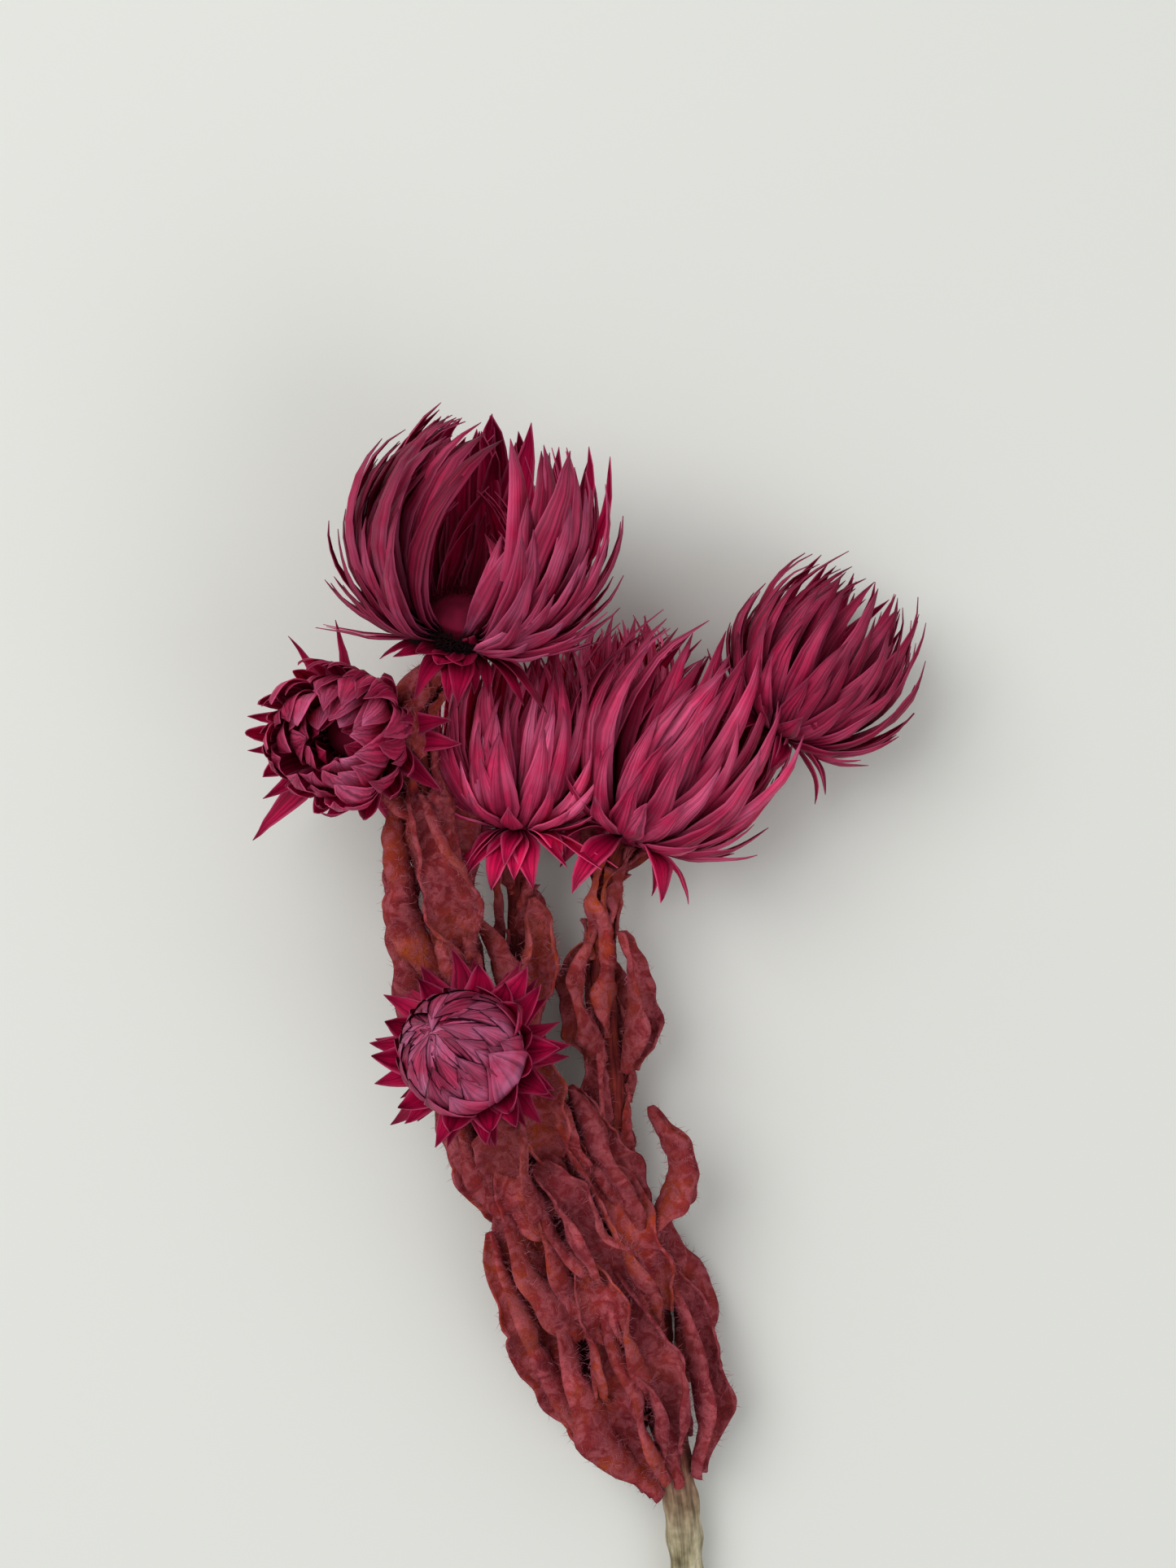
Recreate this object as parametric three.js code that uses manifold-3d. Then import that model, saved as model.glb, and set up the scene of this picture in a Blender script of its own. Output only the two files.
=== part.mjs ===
// A cut, dried strawflower sprig, lying on a surface. Millimetres, +Z up, tips towards +Y.
// A woody stem and its side branch carry woolly leaves and seven flower heads. Each head is a disc of
// florets on its receptacle, ringed by whorls of papery bracts that are joined at their bases.
import * as THREE from "three";
import { mergeVertices } from "three/addons/utils/BufferGeometryUtils.js";
import Module from "manifold-3d";

const wasm = await Module();
wasm.setup();

// Driving dimensions
const CLEARANCE = 0.3; // gap that neighbouring pieces keep
const STEM_SIDES = 8;
const SCAR_SWELLING = 0.07; // how much a stem thickens at a leaf scar, as a share of its radius
const RING_SIDES = 12;
const SEAT_DEPTH = 0.8; // how far a stem's end goes up into its head
const LEAF_THICKNESS = 1.3; // felted blade, wool included
const LEAF_CELLS = [7, 2]; // cells along and across a leaf blade
const BRACT_THICKNESS = 0.5;
const BRACT_CELLS = 3; // cells along a bract
const BRACT_RING = 1.2; // thickness of the ring that joins a whorl's bracts
const BRACT_JITTER = 0.05; // how unevenly the bracts of a whorl stand, as a share of their step and length

const UP = new THREE.Vector3(0, 0, 1);
const rad = THREE.MathUtils.degToRad;
const lerp = THREE.MathUtils.lerp;
const smooth = THREE.MathUtils.smoothstep;

function material(color, roughness) {
  return new THREE.MeshStandardMaterial({ color, roughness, metalness: 0 });
}
const BARK = material(0x8a6a4c, 0.9);
const FELT = material(0x7a2f2c, 0.95);
const PAPER = material(0xa51f56, 0.45);
const FLORETS = material(0x5a0f2c, 0.9);

// A repeatable number from -1 to 1 for each whole number.
function uneven(n) {
  const s = Math.sin(n * 12.9898) * 43758.5453;
  return 2 * (s - Math.floor(s)) - 1;
}

// ---- Solids ------------------------------------------------------------------------------------

// A manifold-3d solid of a closed geometry, turned outwards if its faces point in.
function solidOf(geometry) {
  const bare = geometry.clone();
  bare.deleteAttribute("normal");
  bare.deleteAttribute("uv");
  const merged = mergeVertices(bare, 1e-4);
  const corners = merged.index.array;
  const triVerts = [];
  for (let i = 0; i < corners.length; i += 3) {
    const [a, b, c] = corners.slice(i, i + 3);
    if (a !== b && b !== c && a !== c) triVerts.push(a, b, c);
  }
  const make = (triangles) =>
    new wasm.Manifold(
      new wasm.Mesh({
        numProp: 3,
        vertProperties: merged.attributes.position.array,
        triVerts: new Uint32Array(triangles),
      }),
    );
  const solid = make(triVerts);
  return solid.volume() < 0 ? make(triVerts.reverse()) : solid;
}

function geometryOf(solid) {
  const { numProp, numVert, vertProperties, triVerts } = solid.getMesh();
  const positions = new Float32Array(numVert * 3);
  for (let i = 0; i < numVert; i++) {
    positions.set(vertProperties.subarray(i * numProp, i * numProp + 3), i * 3);
  }
  const geometry = new THREE.BufferGeometry();
  geometry.setAttribute("position", new THREE.BufferAttribute(positions, 3));
  geometry.setIndex(new THREE.BufferAttribute(new Uint32Array(triVerts), 1));
  geometry.computeVertexNormals();
  return geometry;
}

function joined(geometries) {
  return geometryOf(geometries.map(solidOf).reduce((all, one) => all.add(one)));
}

function apart(a, b) {
  return [0, 1, 2].some((k) => a.min[k] > b.max[k] || b.min[k] > a.max[k]);
}

// Pieces that already stand, grown by the clearance, in world space.
const standing = [];

// Adds a piece to its parent, trimmed where it would run into a piece that already stands.
// shape(grow) gives its geometry in the parent's frame, grown all round by that much.
function place(name, look, parent, shape) {
  const mesh = new THREE.Mesh(undefined, look);
  mesh.name = name;
  parent.add(mesh);
  mesh.updateWorldMatrix(true, false);
  let solid = solidOf(shape(0)).transform(mesh.matrixWorld.elements);
  for (const other of standing) {
    if (!apart(solid.boundingBox(), other.boundingBox())) solid = solid.subtract(other);
  }
  const bodies = solid.decompose().sort((a, b) => b.volume() - a.volume());
  mesh.geometry = geometryOf(bodies[0].transform(mesh.matrixWorld.clone().invert().elements));
  standing.push(solidOf(shape(CLEARANCE)).transform(mesh.matrixWorld.elements));
  return mesh;
}

// ---- Stems -------------------------------------------------------------------------------------

// A stem: a line through its points with a radius at each end, swelling a little at each leaf scar.
class Stem {
  constructor(points, radii, scars) {
    this.curve = new THREE.CatmullRomCurve3(points.map((p) => new THREE.Vector3(...p)));
    this.length = this.curve.getLength();
    this.radii = radii;
    this.scars = scars;
  }

  // The point, direction and the upward and rightward directions at a distance from the lower end.
  at(distance) {
    const share = THREE.MathUtils.clamp(distance / this.length, 0, 1);
    const along = this.curve.getTangentAt(share);
    const point = this.curve.getPointAt(share);
    point.addScaledVector(along, distance - share * this.length);
    const right = along.clone().cross(UP).normalize();
    const up = right.clone().cross(along);
    return { point, along, up, right };
  }

  radius(distance) {
    const share = THREE.MathUtils.clamp(distance / this.length, 0, 1);
    const swelling = 1 + SCAR_SWELLING * Math.sin(2 * Math.PI * share * this.scars);
    return lerp(this.radii[0], this.radii[1], share) * swelling;
  }

  // A direction across the stem: 0 is up, 90 is right, 180 is down and -90 is left.
  outward(place, degrees) {
    return place.up
      .clone()
      .multiplyScalar(Math.cos(rad(degrees)))
      .addScaledVector(place.right, Math.sin(rad(degrees)));
  }

  geometry(steps, grow) {
    const tube = new THREE.CylinderGeometry(1, 1, 1, STEM_SIDES, steps);
    const frames = this.curve.computeFrenetFrames(steps, false);
    const spot = tube.getAttribute("position");
    for (let i = 0; i < spot.count; i++) {
      const step = Math.round((spot.getY(i) + 0.5) * steps);
      const share = step / steps;
      const size = this.radius(share * this.length) + grow;
      const end = step === 0 ? -grow : step === steps ? grow : 0;
      const p = this.curve
        .getPointAt(share)
        .addScaledVector(frames.tangents[step], end)
        .addScaledVector(frames.normals[step], spot.getX(i) * size)
        .addScaledVector(frames.binormals[step], spot.getZ(i) * size);
      spot.setXYZ(i, p.x, p.y, p.z);
    }
    return tube;
  }
}

// ---- Leaves ------------------------------------------------------------------------------------

// Bends a unit box into a blade. surface(u, v) gives a point and its outward normal, with u from 0 at
// the base to 1 at the tip and v from -1 to 1 across; half(u, v) is half the thickness there.
function blade(along, across, surface, half) {
  const box = new THREE.BoxGeometry(1, 1, 1, along, across, 1);
  const spot = box.getAttribute("position");
  for (let i = 0; i < spot.count; i++) {
    const u = spot.getX(i) + 0.5;
    const v = 2 * spot.getY(i);
    const { point, normal } = surface(u, v);
    point.addScaledVector(normal, 2 * spot.getZ(i) * half(u, v));
    spot.setXYZ(i, point.x, point.y, point.z);
  }
  return box;
}

// Half a leaf's width along its length, from a narrow base to a blunt point.
function leafOutline(u) {
  return lerp(0.45, 1, smooth(u, 0, 0.35)) * Math.sqrt(Math.max(1 - Math.pow(u, 4), 0.04));
}

// A woolly leaf that climbs its stem. at is where it leaves the stem, around the side that it is on,
// reach how far it climbs, bow how far its middle and tip how far its point stands off the stem, wrap
// how far it winds round, and roll how far its margins turn outwards.
function leafGeometry(stem, leaf, grow) {
  const { at, around, reach, width, bow, tip, wrap = 0, roll = 60 } = leaf;
  const line = (u) => {
    const spot = stem.at(at + reach * u);
    const off = stem.radius(at + reach * u) + LEAF_THICKNESS / 2 + CLEARANCE;
    const out = stem.outward(spot, around + wrap * u);
    const stand = bow * Math.sin(Math.PI * u) + tip * u * u;
    return { point: spot.point.addScaledVector(out, off + stand), out };
  };
  const surface = (u, v) => {
    const here = line(u);
    const ahead = line(u + 0.01).point.sub(line(u - 0.01).point).normalize();
    const side = ahead.clone().cross(here.out).normalize();
    const face = side.clone().cross(ahead);
    const bend = v * rad(roll);
    const radius = ((width / 2) * leafOutline(u) + grow) / rad(roll);
    const point = here.point
      .addScaledVector(side, radius * Math.sin(bend))
      .addScaledVector(face, radius * (1 - Math.cos(bend)))
      .addScaledVector(ahead, (2 * u - 1) * grow);
    const normal = face.multiplyScalar(Math.cos(bend)).addScaledVector(side, -Math.sin(bend));
    return { point, normal };
  };
  const half = (u, v) => (LEAF_THICKNESS / 2) * (1 - 0.4 * v * v) * (1 - 0.4 * u) + grow;
  return blade(...LEAF_CELLS, surface, half);
}

// ---- Flower heads ------------------------------------------------------------------------------

// Half a bract's width along its length: a narrow claw, a broad middle and a sharp tip.
function bractOutline(u) {
  return lerp(0.25, 1, smooth(u, 0, 0.5)) * (1 - Math.pow(smooth(u, 0.3, 1), 1.4));
}

// One bract, in its head's frame. profile is its line seen from the side, as radius and height.
function bractGeometry(profile, azimuth, width, grow) {
  const out = new THREE.Vector3(Math.cos(azimuth), Math.sin(azimuth), 0);
  const side = new THREE.Vector3(-Math.sin(azimuth), Math.cos(azimuth), 0);
  const surface = (u, v) => {
    const spot = profile.getPoint(u);
    const run = profile.getTangent(u);
    const across = v * ((width / 2) * bractOutline(u) + (u < 1 ? grow : 0));
    const point = out
      .clone()
      .multiplyScalar(spot.x)
      .addScaledVector(side, across)
      .addScaledVector(UP, spot.y);
    const normal = out.clone().multiplyScalar(run.y).addScaledVector(UP, -run.x);
    return { point, normal };
  };
  return blade(BRACT_CELLS, 1, surface, () => BRACT_THICKNESS / 2 + grow);
}

// A shape turned about the head's axis, from its section as [radius, height].
function turned(section) {
  const profile = section.map((p) => new THREE.Vector2(...p));
  return new THREE.LatheGeometry(profile, RING_SIDES).rotateX(Math.PI / 2);
}

// A whorl: bracts joined by the ring that their bases make. Each bract's line runs from the ring, out
// to belly and up to tip, all as [radius, height]. open leaves out bracts from one angle to another.
function whorlGeometry({ ring, belly, tip, count, width, open }, grow) {
  const [radius, height] = ring;
  const thick = BRACT_RING / 2 + grow;
  const section = [
    [radius - thick, height - thick],
    [radius + thick, height - thick],
    [radius + thick, height + thick],
    [radius - thick, height + thick],
    [radius - thick, height - thick],
  ];
  const pieces = [turned(section)];
  for (let i = 0; i < count; i++) {
    const angle = (360 / count) * (i + BRACT_JITTER * uneven(i + count));
    if (open && angle > open[0] && angle < open[1]) continue;
    const reach = 1 + BRACT_JITTER * uneven(7 * i + count);
    const line = new THREE.QuadraticBezierCurve(
      new THREE.Vector2(radius, height),
      new THREE.Vector2(...belly),
      new THREE.Vector2(tip[0] * reach, lerp(height, tip[1], reach)),
    );
    pieces.push(bractGeometry(line, rad(angle), width, grow));
  }
  return joined(pieces);
}

// The disc of florets on its receptacle: a cone that widens from the stalk, with a low dome on it.
function discGeometry(radius, height, dome, grow) {
  return turned([
    [0, -grow],
    [0.35 * radius + grow, -grow],
    [radius + grow, height],
    [radius + grow, height + 0.3 * dome],
    [0.72 * radius + grow, height + 0.78 * dome + grow],
    [0, height + dome + grow],
  ]);
}

// A flower head's own frame: Z along its axis, and -Y as near as can be to the way that it faces, so
// that angles run 0 right, 90 back, 180 left and 270 front. It stands a little way down its stem.
function headFrame(end, axis, faces) {
  const z = new THREE.Vector3(...axis).normalize();
  const x = z.clone().cross(new THREE.Vector3(...faces)).normalize();
  const y = z.clone().cross(x);
  const group = new THREE.Group();
  group.position.copy(end).addScaledVector(z, -SEAT_DEPTH);
  group.quaternion.setFromRotationMatrix(new THREE.Matrix4().makeBasis(x, y, z));
  return group;
}

// ---- The sprig ---------------------------------------------------------------------------------

const sprig = new THREE.Group();

const stems = {
  main_stem: new Stem(
    [
      [20.8, -168.4, 3.6],
      [17.3, -139, 4.6],
      [15.4, -119, 6.6],
      [11.4, -99, 9],
      [6.3, -84, 11.5],
      [-2.3, -70.5, 14],
      [-9.8, -59, 16],
      [-15.6, -47, 18],
      [-19.5, -34.5, 20],
      [-23, -21, 21.5],
      [-25.5, -8.5, 23.5],
      [-27.5, 2.5, 25],
      [-28.2, 11, 27],
      [-25.5, 17, 29],
      [-20.5, 20, 30.5],
      [-17, 22.5, 31],
    ],
    [3.4, 2.3],
    11,
  ),
  right_branch: new Stem(
    [
      [11, -97, 10],
      [10.2, -86, 13],
      [6.5, -74, 12],
      [4.8, -60, 11.5],
      [3.7, -45, 12],
      [2.4, -30, 12.5],
      [3, -18, 13.5],
      [6.2, -9, 15.4],
    ],
    [2.4, 1.9],
    6,
  ),
  left_bud_stalk: new Stem(
    [
      [-25.8, -7, 23.8],
      [-31, -2.5, 25.5],
      [-35.5, 3.5, 24.5],
      [-38, 8.5, 25.5],
    ],
    [1.9, 1.6],
    1,
  ),
  middle_stalk: new Stem(
    [
      [-15, -47, 17],
      [-12.6, -38, 13],
      [-11.8, -26, 12.5],
      [-11.6, -16, 14],
      [-11.8, -7.5, 15],
    ],
    [2.1, 1.8],
    3,
  ),
  low_bud_stalk: new Stem(
    [
      [-14.8, -50, 18.5],
      [-16.2, -47, 23],
      [-18.4, -44, 27.5],
    ],
    [1.9, 1.7],
    1,
  ),
  far_stalk: new Stem(
    [
      [4.2, -14.5, 13],
      [12, -9.5, 8.5],
      [20, -3, 8],
      [27, 3.5, 10.5],
      [31.4, 8.5, 13.6],
    ],
    [1.6, 1.6],
    2,
  ),
  back_stalk: new Stem(
    [
      [2.6, -18, 12.6],
      [0.6, -10, 7],
      [1.8, 0, 6.5],
      [4.6, 7, 8],
    ],
    [1.5, 1.5],
    2,
  ),
};
const STEM_STEPS = { main_stem: 28, right_branch: 14 };
const STALK_STEPS = 5;

for (const [name, stem] of Object.entries(stems)) {
  const steps = STEM_STEPS[name] || STALK_STEPS;
  place(name, BARK, sprig, (grow) => stem.geometry(steps, grow));
}

// Each head: the stem that ends in it, the way that it points, the side that counts as its front, its
// disc as radius, height and dome, and its whorls from the outside in.
const TOWARDS_VIEW = [0, 0, 1];
const TOWARDS_CUT_END = [0, -1, 0];
const heads = {
  crown_head: {
    stem: "main_stem",
    axis: [-0.1, 0.97, 0.2],
    faces: TOWARDS_VIEW,
    disc: [7, 4.5, 5],
    whorls: {
      outer: { ring: [5, 1.2], belly: [26, -1], tip: [23.5, 22], count: 15, width: 6 },
      middle: {
        ring: [6.6, 3],
        belly: [24, 5],
        tip: [19, 32],
        count: 15,
        width: 6,
        open: [225, 300],
      },
      inner: {
        ring: [8.2, 5.6],
        belly: [20, 14],
        tip: [11, 38],
        count: 13,
        width: 5.5,
        open: [215, 310],
      },
    },
  },
  low_bud: {
    stem: "low_bud_stalk",
    axis: [-0.28, 0.2, 0.94],
    faces: TOWARDS_CUT_END,
    disc: [3.6, 2.6, 2.4],
    whorls: {
      outer: { ring: [3.6, 0.9], belly: [11, 1], tip: [14, 8], count: 11, width: 5.2 },
      inner: { ring: [4.6, 3], belly: [12.5, 7], tip: [2.6, 14], count: 9, width: 6.4 },
    },
  },
  left_bud: {
    stem: "left_bud_stalk",
    axis: [-0.22, -0.16, 0.96],
    faces: TOWARDS_CUT_END,
    disc: [4, 3, 2.5],
    whorls: {
      outer: { ring: [3.8, 1], belly: [13, 0], tip: [14.5, 12], count: 11, width: 6 },
      inner: { ring: [5, 3.2], belly: [14, 7], tip: [5.5, 17.5], count: 10, width: 6.4 },
    },
  },
  middle_head: {
    stem: "middle_stalk",
    axis: [0.08, 0.98, 0.05],
    faces: TOWARDS_VIEW,
    disc: [4.4, 3.4, 3.4],
    whorls: {
      outer: { ring: [4.2, 1.1], belly: [16, 2], tip: [12, 24], count: 11, width: 6 },
      inner: { ring: [5.4, 3.4], belly: [11.5, 8], tip: [7, 27], count: 8, width: 5.6 },
    },
  },
  right_head: {
    stem: "right_branch",
    axis: [0.46, 0.88, 0.08],
    faces: TOWARDS_VIEW,
    disc: [5.4, 4, 4],
    whorls: {
      outer: { ring: [4.8, 1.2], belly: [17.5, 2], tip: [15.5, 27], count: 12, width: 6.4 },
      inner: { ring: [6.4, 3.8], belly: [14, 9], tip: [8, 33], count: 9, width: 6 },
    },
  },
  far_head: {
    stem: "far_stalk",
    axis: [0.56, 0.83, 0.08],
    faces: TOWARDS_VIEW,
    disc: [5, 3.8, 3.6],
    whorls: {
      outer: { ring: [4.6, 1.2], belly: [16.5, 2], tip: [14.5, 24], count: 12, width: 6 },
      inner: { ring: [6, 3.6], belly: [13, 8], tip: [7.5, 28], count: 8, width: 5.6 },
    },
  },
  back_head: {
    stem: "back_stalk",
    axis: [0.05, 0.98, 0.03],
    faces: TOWARDS_VIEW,
    disc: [2.8, 2.4, 2.4],
    whorls: {
      outer: { ring: [2.8, 1], belly: [9, 2], tip: [5, 23], count: 8, width: 5 },
    },
  },
};

const headGroups = {};
for (const [name, head] of Object.entries(heads)) {
  const stem = stems[head.stem];
  const group = headFrame(stem.at(stem.length).point, head.axis, head.faces);
  sprig.add(group);
  headGroups[name] = group;
  place(`${name}_disc`, FLORETS, group, (grow) => discGeometry(...head.disc, grow));
}
for (const [name, head] of Object.entries(heads)) {
  for (const [rank, whorl] of Object.entries(head.whorls)) {
    const label = `${name}_${rank}_bracts`;
    place(label, PAPER, headGroups[name], (grow) => whorlGeometry(whorl, grow));
  }
}

// Leaves, stem by stem from its foot up. The lift of each one's middle and tip spaces them out.
const leaves = {
  lower_leaf: [
    { at: 52, around: -35, reach: 40, width: 9, bow: 5, tip: 3, wrap: -14 },
    { at: 50, around: -80, reach: 58, width: 9.5, bow: 8, tip: 13, wrap: 5 },
    { at: 57, around: 10, reach: 34, width: 8.5, bow: 3, tip: 2, wrap: -16 },
    { at: 51, around: 75, reach: 40, width: 7.5, bow: 3, tip: 2, wrap: 8 },
    { at: 66, around: 120, reach: 32, width: 8, bow: 4, tip: 5 },
    { at: 56, around: 178, reach: 42, width: 9, bow: 0.9, tip: 0.6, roll: 45 },
    { at: 62, around: -118, reach: 46, width: 9, bow: 4, tip: 7 },
  ],
  middle_leaf: [
    { at: 86, around: -62, reach: 36, width: 10.5, bow: 3, tip: 2, wrap: 20 },
    { at: 88, around: 5, reach: 26, width: 10, bow: 3, tip: 3, wrap: -12 },
    { at: 90, around: 72, reach: 32, width: 9, bow: 3.5, tip: 7 },
    { at: 94, around: -110, reach: 34, width: 9, bow: 3, tip: 2 },
    { at: 92, around: 165, reach: 34, width: 9, bow: 4, tip: 3 },
    { at: 104, around: 60, reach: 26, width: 9, bow: 2, tip: 1 },
    { at: 136, around: 38, reach: 26, width: 9, bow: 0.8, tip: 0.4, roll: -45 },
    { at: 122, around: -52, reach: 36, width: 9, bow: 0.8, tip: 0.4, roll: -45 },
    { at: 124, around: -134, reach: 40, width: 9.5, bow: 10, tip: 24.2 },
    { at: 123, around: 112, reach: 32, width: 8, bow: 2.2, tip: 1 },
    { at: 126, around: 178, reach: 34, width: 9, bow: 4, tip: 3 },
  ],
  upper_leaf: [
    { at: 160, around: -25, reach: 22, width: 9.5, bow: 1.2, tip: 0.6, roll: -45 },
    { at: 164, around: 65, reach: 22, width: 9, bow: 1.2, tip: 0.6, roll: -45 },
    { at: 160, around: 150, reach: 26, width: 8.5, bow: 1.6, tip: 1 },
    { at: 184, around: 10, reach: 14, width: 7.5, bow: 0.8, tip: 0.3, roll: -45 },
  ],
};
const branchLeaves = [
  { at: 20, around: 72, reach: 24, width: 9.5, bow: 5, tip: 4 },
  { at: 26, around: -30, reach: 30, width: 7.5, bow: 1.5, tip: 1 },
  { at: 44, around: 170, reach: 24, width: 7.5, bow: 2, tip: 1 },
  { at: 50, around: 65, reach: 24, width: 8, bow: 2, tip: 1 },
  { at: 52, around: -50, reach: 20, width: 7.5, bow: 1.5, tip: 1 },
];
const stalkLeaves = [
  { at: 8, around: 35, reach: 22, width: 7.5, bow: 1.5, tip: 1 },
  { at: 10, around: 150, reach: 20, width: 7, bow: 1.5, tip: 1 },
];

function addLeaves(label, stem, list) {
  list.forEach((leaf, i) => {
    place(`${label}_${i + 1}`, FELT, sprig, (grow) => leafGeometry(stem, leaf, grow));
  });
}
for (const [label, list] of Object.entries(leaves)) addLeaves(label, stems.main_stem, list);
addLeaves("branch_leaf", stems.right_branch, branchLeaves);
addLeaves("stalk_leaf", stems.middle_stalk, stalkLeaves);

// The origin is under the middle of the sprig, on the surface that it lies on.
const box = new THREE.Box3().setFromObject(sprig, true);
const middle = box.getCenter(new THREE.Vector3());
sprig.position.set(-middle.x, -middle.y, -box.min.z);

export default sprig;
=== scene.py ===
"""A cut, dried strawflower sprig: seven papery flower heads on a stem clothed in woolly leaves.

Lengths here are in millimetres until a mesh is made, and every stem, leaf and head stands where the
frame's own pieces stand.
"""

import math

import bpy
import numpy as np
from mathutils import Matrix, Vector


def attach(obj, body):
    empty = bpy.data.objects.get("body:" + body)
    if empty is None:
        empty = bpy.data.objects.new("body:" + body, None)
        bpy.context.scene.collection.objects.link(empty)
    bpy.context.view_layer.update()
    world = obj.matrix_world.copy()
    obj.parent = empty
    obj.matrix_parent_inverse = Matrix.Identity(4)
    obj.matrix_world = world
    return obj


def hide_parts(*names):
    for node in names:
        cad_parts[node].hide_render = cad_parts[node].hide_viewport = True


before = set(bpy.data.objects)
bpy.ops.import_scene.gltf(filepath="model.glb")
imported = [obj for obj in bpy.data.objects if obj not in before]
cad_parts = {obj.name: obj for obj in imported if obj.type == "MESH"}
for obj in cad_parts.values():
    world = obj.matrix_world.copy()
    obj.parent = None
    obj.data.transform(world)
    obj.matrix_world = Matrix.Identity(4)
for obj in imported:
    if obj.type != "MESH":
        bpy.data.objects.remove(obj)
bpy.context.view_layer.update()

MM = 0.001
UP = np.array([0.0, 0.0, 1.0])

# ---- Stems ------------------------------------------------------------------------------------------

STEMS = {
    "main_stem": {
        "points": [
            (20.8, -168.4, 3.6),
            (17.3, -139, 4.6),
            (15.4, -119, 6.6),
            (11.4, -99, 9),
            (6.3, -84, 11.5),
            (-2.3, -70.5, 14),
            (-9.8, -59, 16),
            (-15.6, -47, 18),
            (-19.5, -34.5, 20),
            (-23, -21, 21.5),
            (-25.5, -8.5, 23.5),
            (-27.5, 2.5, 25),
            (-28.2, 11, 27),
            (-25.5, 17, 29),
            (-20.5, 20, 30.5),
            (-17, 22.5, 31),
        ],
        "radii": (3.4, 2.3),
        "scars": 11,
    },
    "right_branch": {
        "points": [
            (11, -97, 10),
            (10.2, -86, 13),
            (6.5, -74, 12),
            (4.8, -60, 11.5),
            (3.7, -45, 12),
            (2.4, -30, 12.5),
            (3, -18, 13.5),
            (6.2, -9, 15.4),
        ],
        "radii": (2.4, 1.9),
        "scars": 6,
    },
    "left_bud_stalk": {
        "points": [(-25.8, -7, 23.8), (-31, -2.5, 25.5), (-35.5, 3.5, 24.5), (-38, 8.5, 25.5)],
        "radii": (1.9, 1.6),
        "scars": 1,
    },
    "middle_stalk": {
        "points": [
            (-15, -47, 17),
            (-12.6, -38, 13),
            (-11.8, -26, 12.5),
            (-11.6, -16, 14),
            (-11.8, -7.5, 15),
        ],
        "radii": (2.1, 1.8),
        "scars": 3,
    },
    "low_bud_stalk": {
        "points": [(-14.8, -50, 18.5), (-16.2, -47, 23), (-18.4, -44, 27.5)],
        "radii": (1.9, 1.7),
        "scars": 1,
    },
    "far_stalk": {
        "points": [(4.2, -14.5, 13), (12, -9.5, 8.5), (20, -3, 8), (27, 3.5, 10.5), (31.4, 8.5, 13.6)],
        "radii": (1.6, 1.6),
        "scars": 2,
    },
    "back_stalk": {
        "points": [(2.6, -18, 12.6), (0.6, -10, 7), (1.8, 0, 6.5), (4.6, 7, 8)],
        "radii": (1.5, 1.5),
        "scars": 2,
    },
}
SCAR_SWELLING = 0.07
CLEARANCE = 0.3
LEAF_THICKNESS = 1.3
SEAT_DEPTH = 0.8


def foot_of_sprig():
    """The centre of the main stem's cut end, in the frame's millimetres."""
    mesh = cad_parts["main_stem"].data
    corners = np.array([v.co for v in mesh.vertices]) / MM
    corners = np.unique(corners.round(3), axis=0)
    heel, next_point = (np.array(p, float) for p in STEMS["main_stem"]["points"][:2])
    along = (next_point - heel) / np.linalg.norm(next_point - heel)
    sides = 8
    rim_and_centre = np.argsort(corners @ along)[: sides + 1]
    return corners[rim_and_centre].mean(axis=0)


# What turns the stems' own measures into the frame's.
ORIGIN = foot_of_sprig() - np.array(STEMS["main_stem"]["points"][0])


def smoothstep(x, low, high):
    t = np.clip((x - low) / (high - low), 0, 1)
    return t * t * (3 - 2 * t)


def unit(vectors):
    return vectors / np.linalg.norm(vectors, axis=-1, keepdims=True)


def spline(points, steps_between=24):
    """A dense line through the points: a centripetal Catmull-Rom curve."""
    p = np.array(points, float)
    p = np.vstack([2 * p[0] - p[1], p, 2 * p[-1] - p[-2]])
    knots = np.sqrt(np.linalg.norm(np.diff(p, axis=0), axis=1))
    line = []
    for i in range(1, len(p) - 2):
        before, span, after = knots[i - 1 : i + 2]
        leave = (p[i] - p[i - 1]) / before - (p[i + 1] - p[i - 1]) / (before + span)
        leave = (leave + (p[i + 1] - p[i]) / span) * span
        arrive = (p[i + 1] - p[i]) / span - (p[i + 2] - p[i]) / (span + after)
        arrive = (arrive + (p[i + 2] - p[i + 1]) / after) * span
        t = np.linspace(0, 1, steps_between, endpoint=False)[:, None]
        line.append(
            (2 * t**3 - 3 * t**2 + 1) * p[i]
            + (t**3 - 2 * t**2 + t) * leave
            + (3 * t**2 - 2 * t**3) * p[i + 1]
            + (t**3 - t**2) * arrive
        )
    return np.vstack([*line, p[-2][None]])


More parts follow.
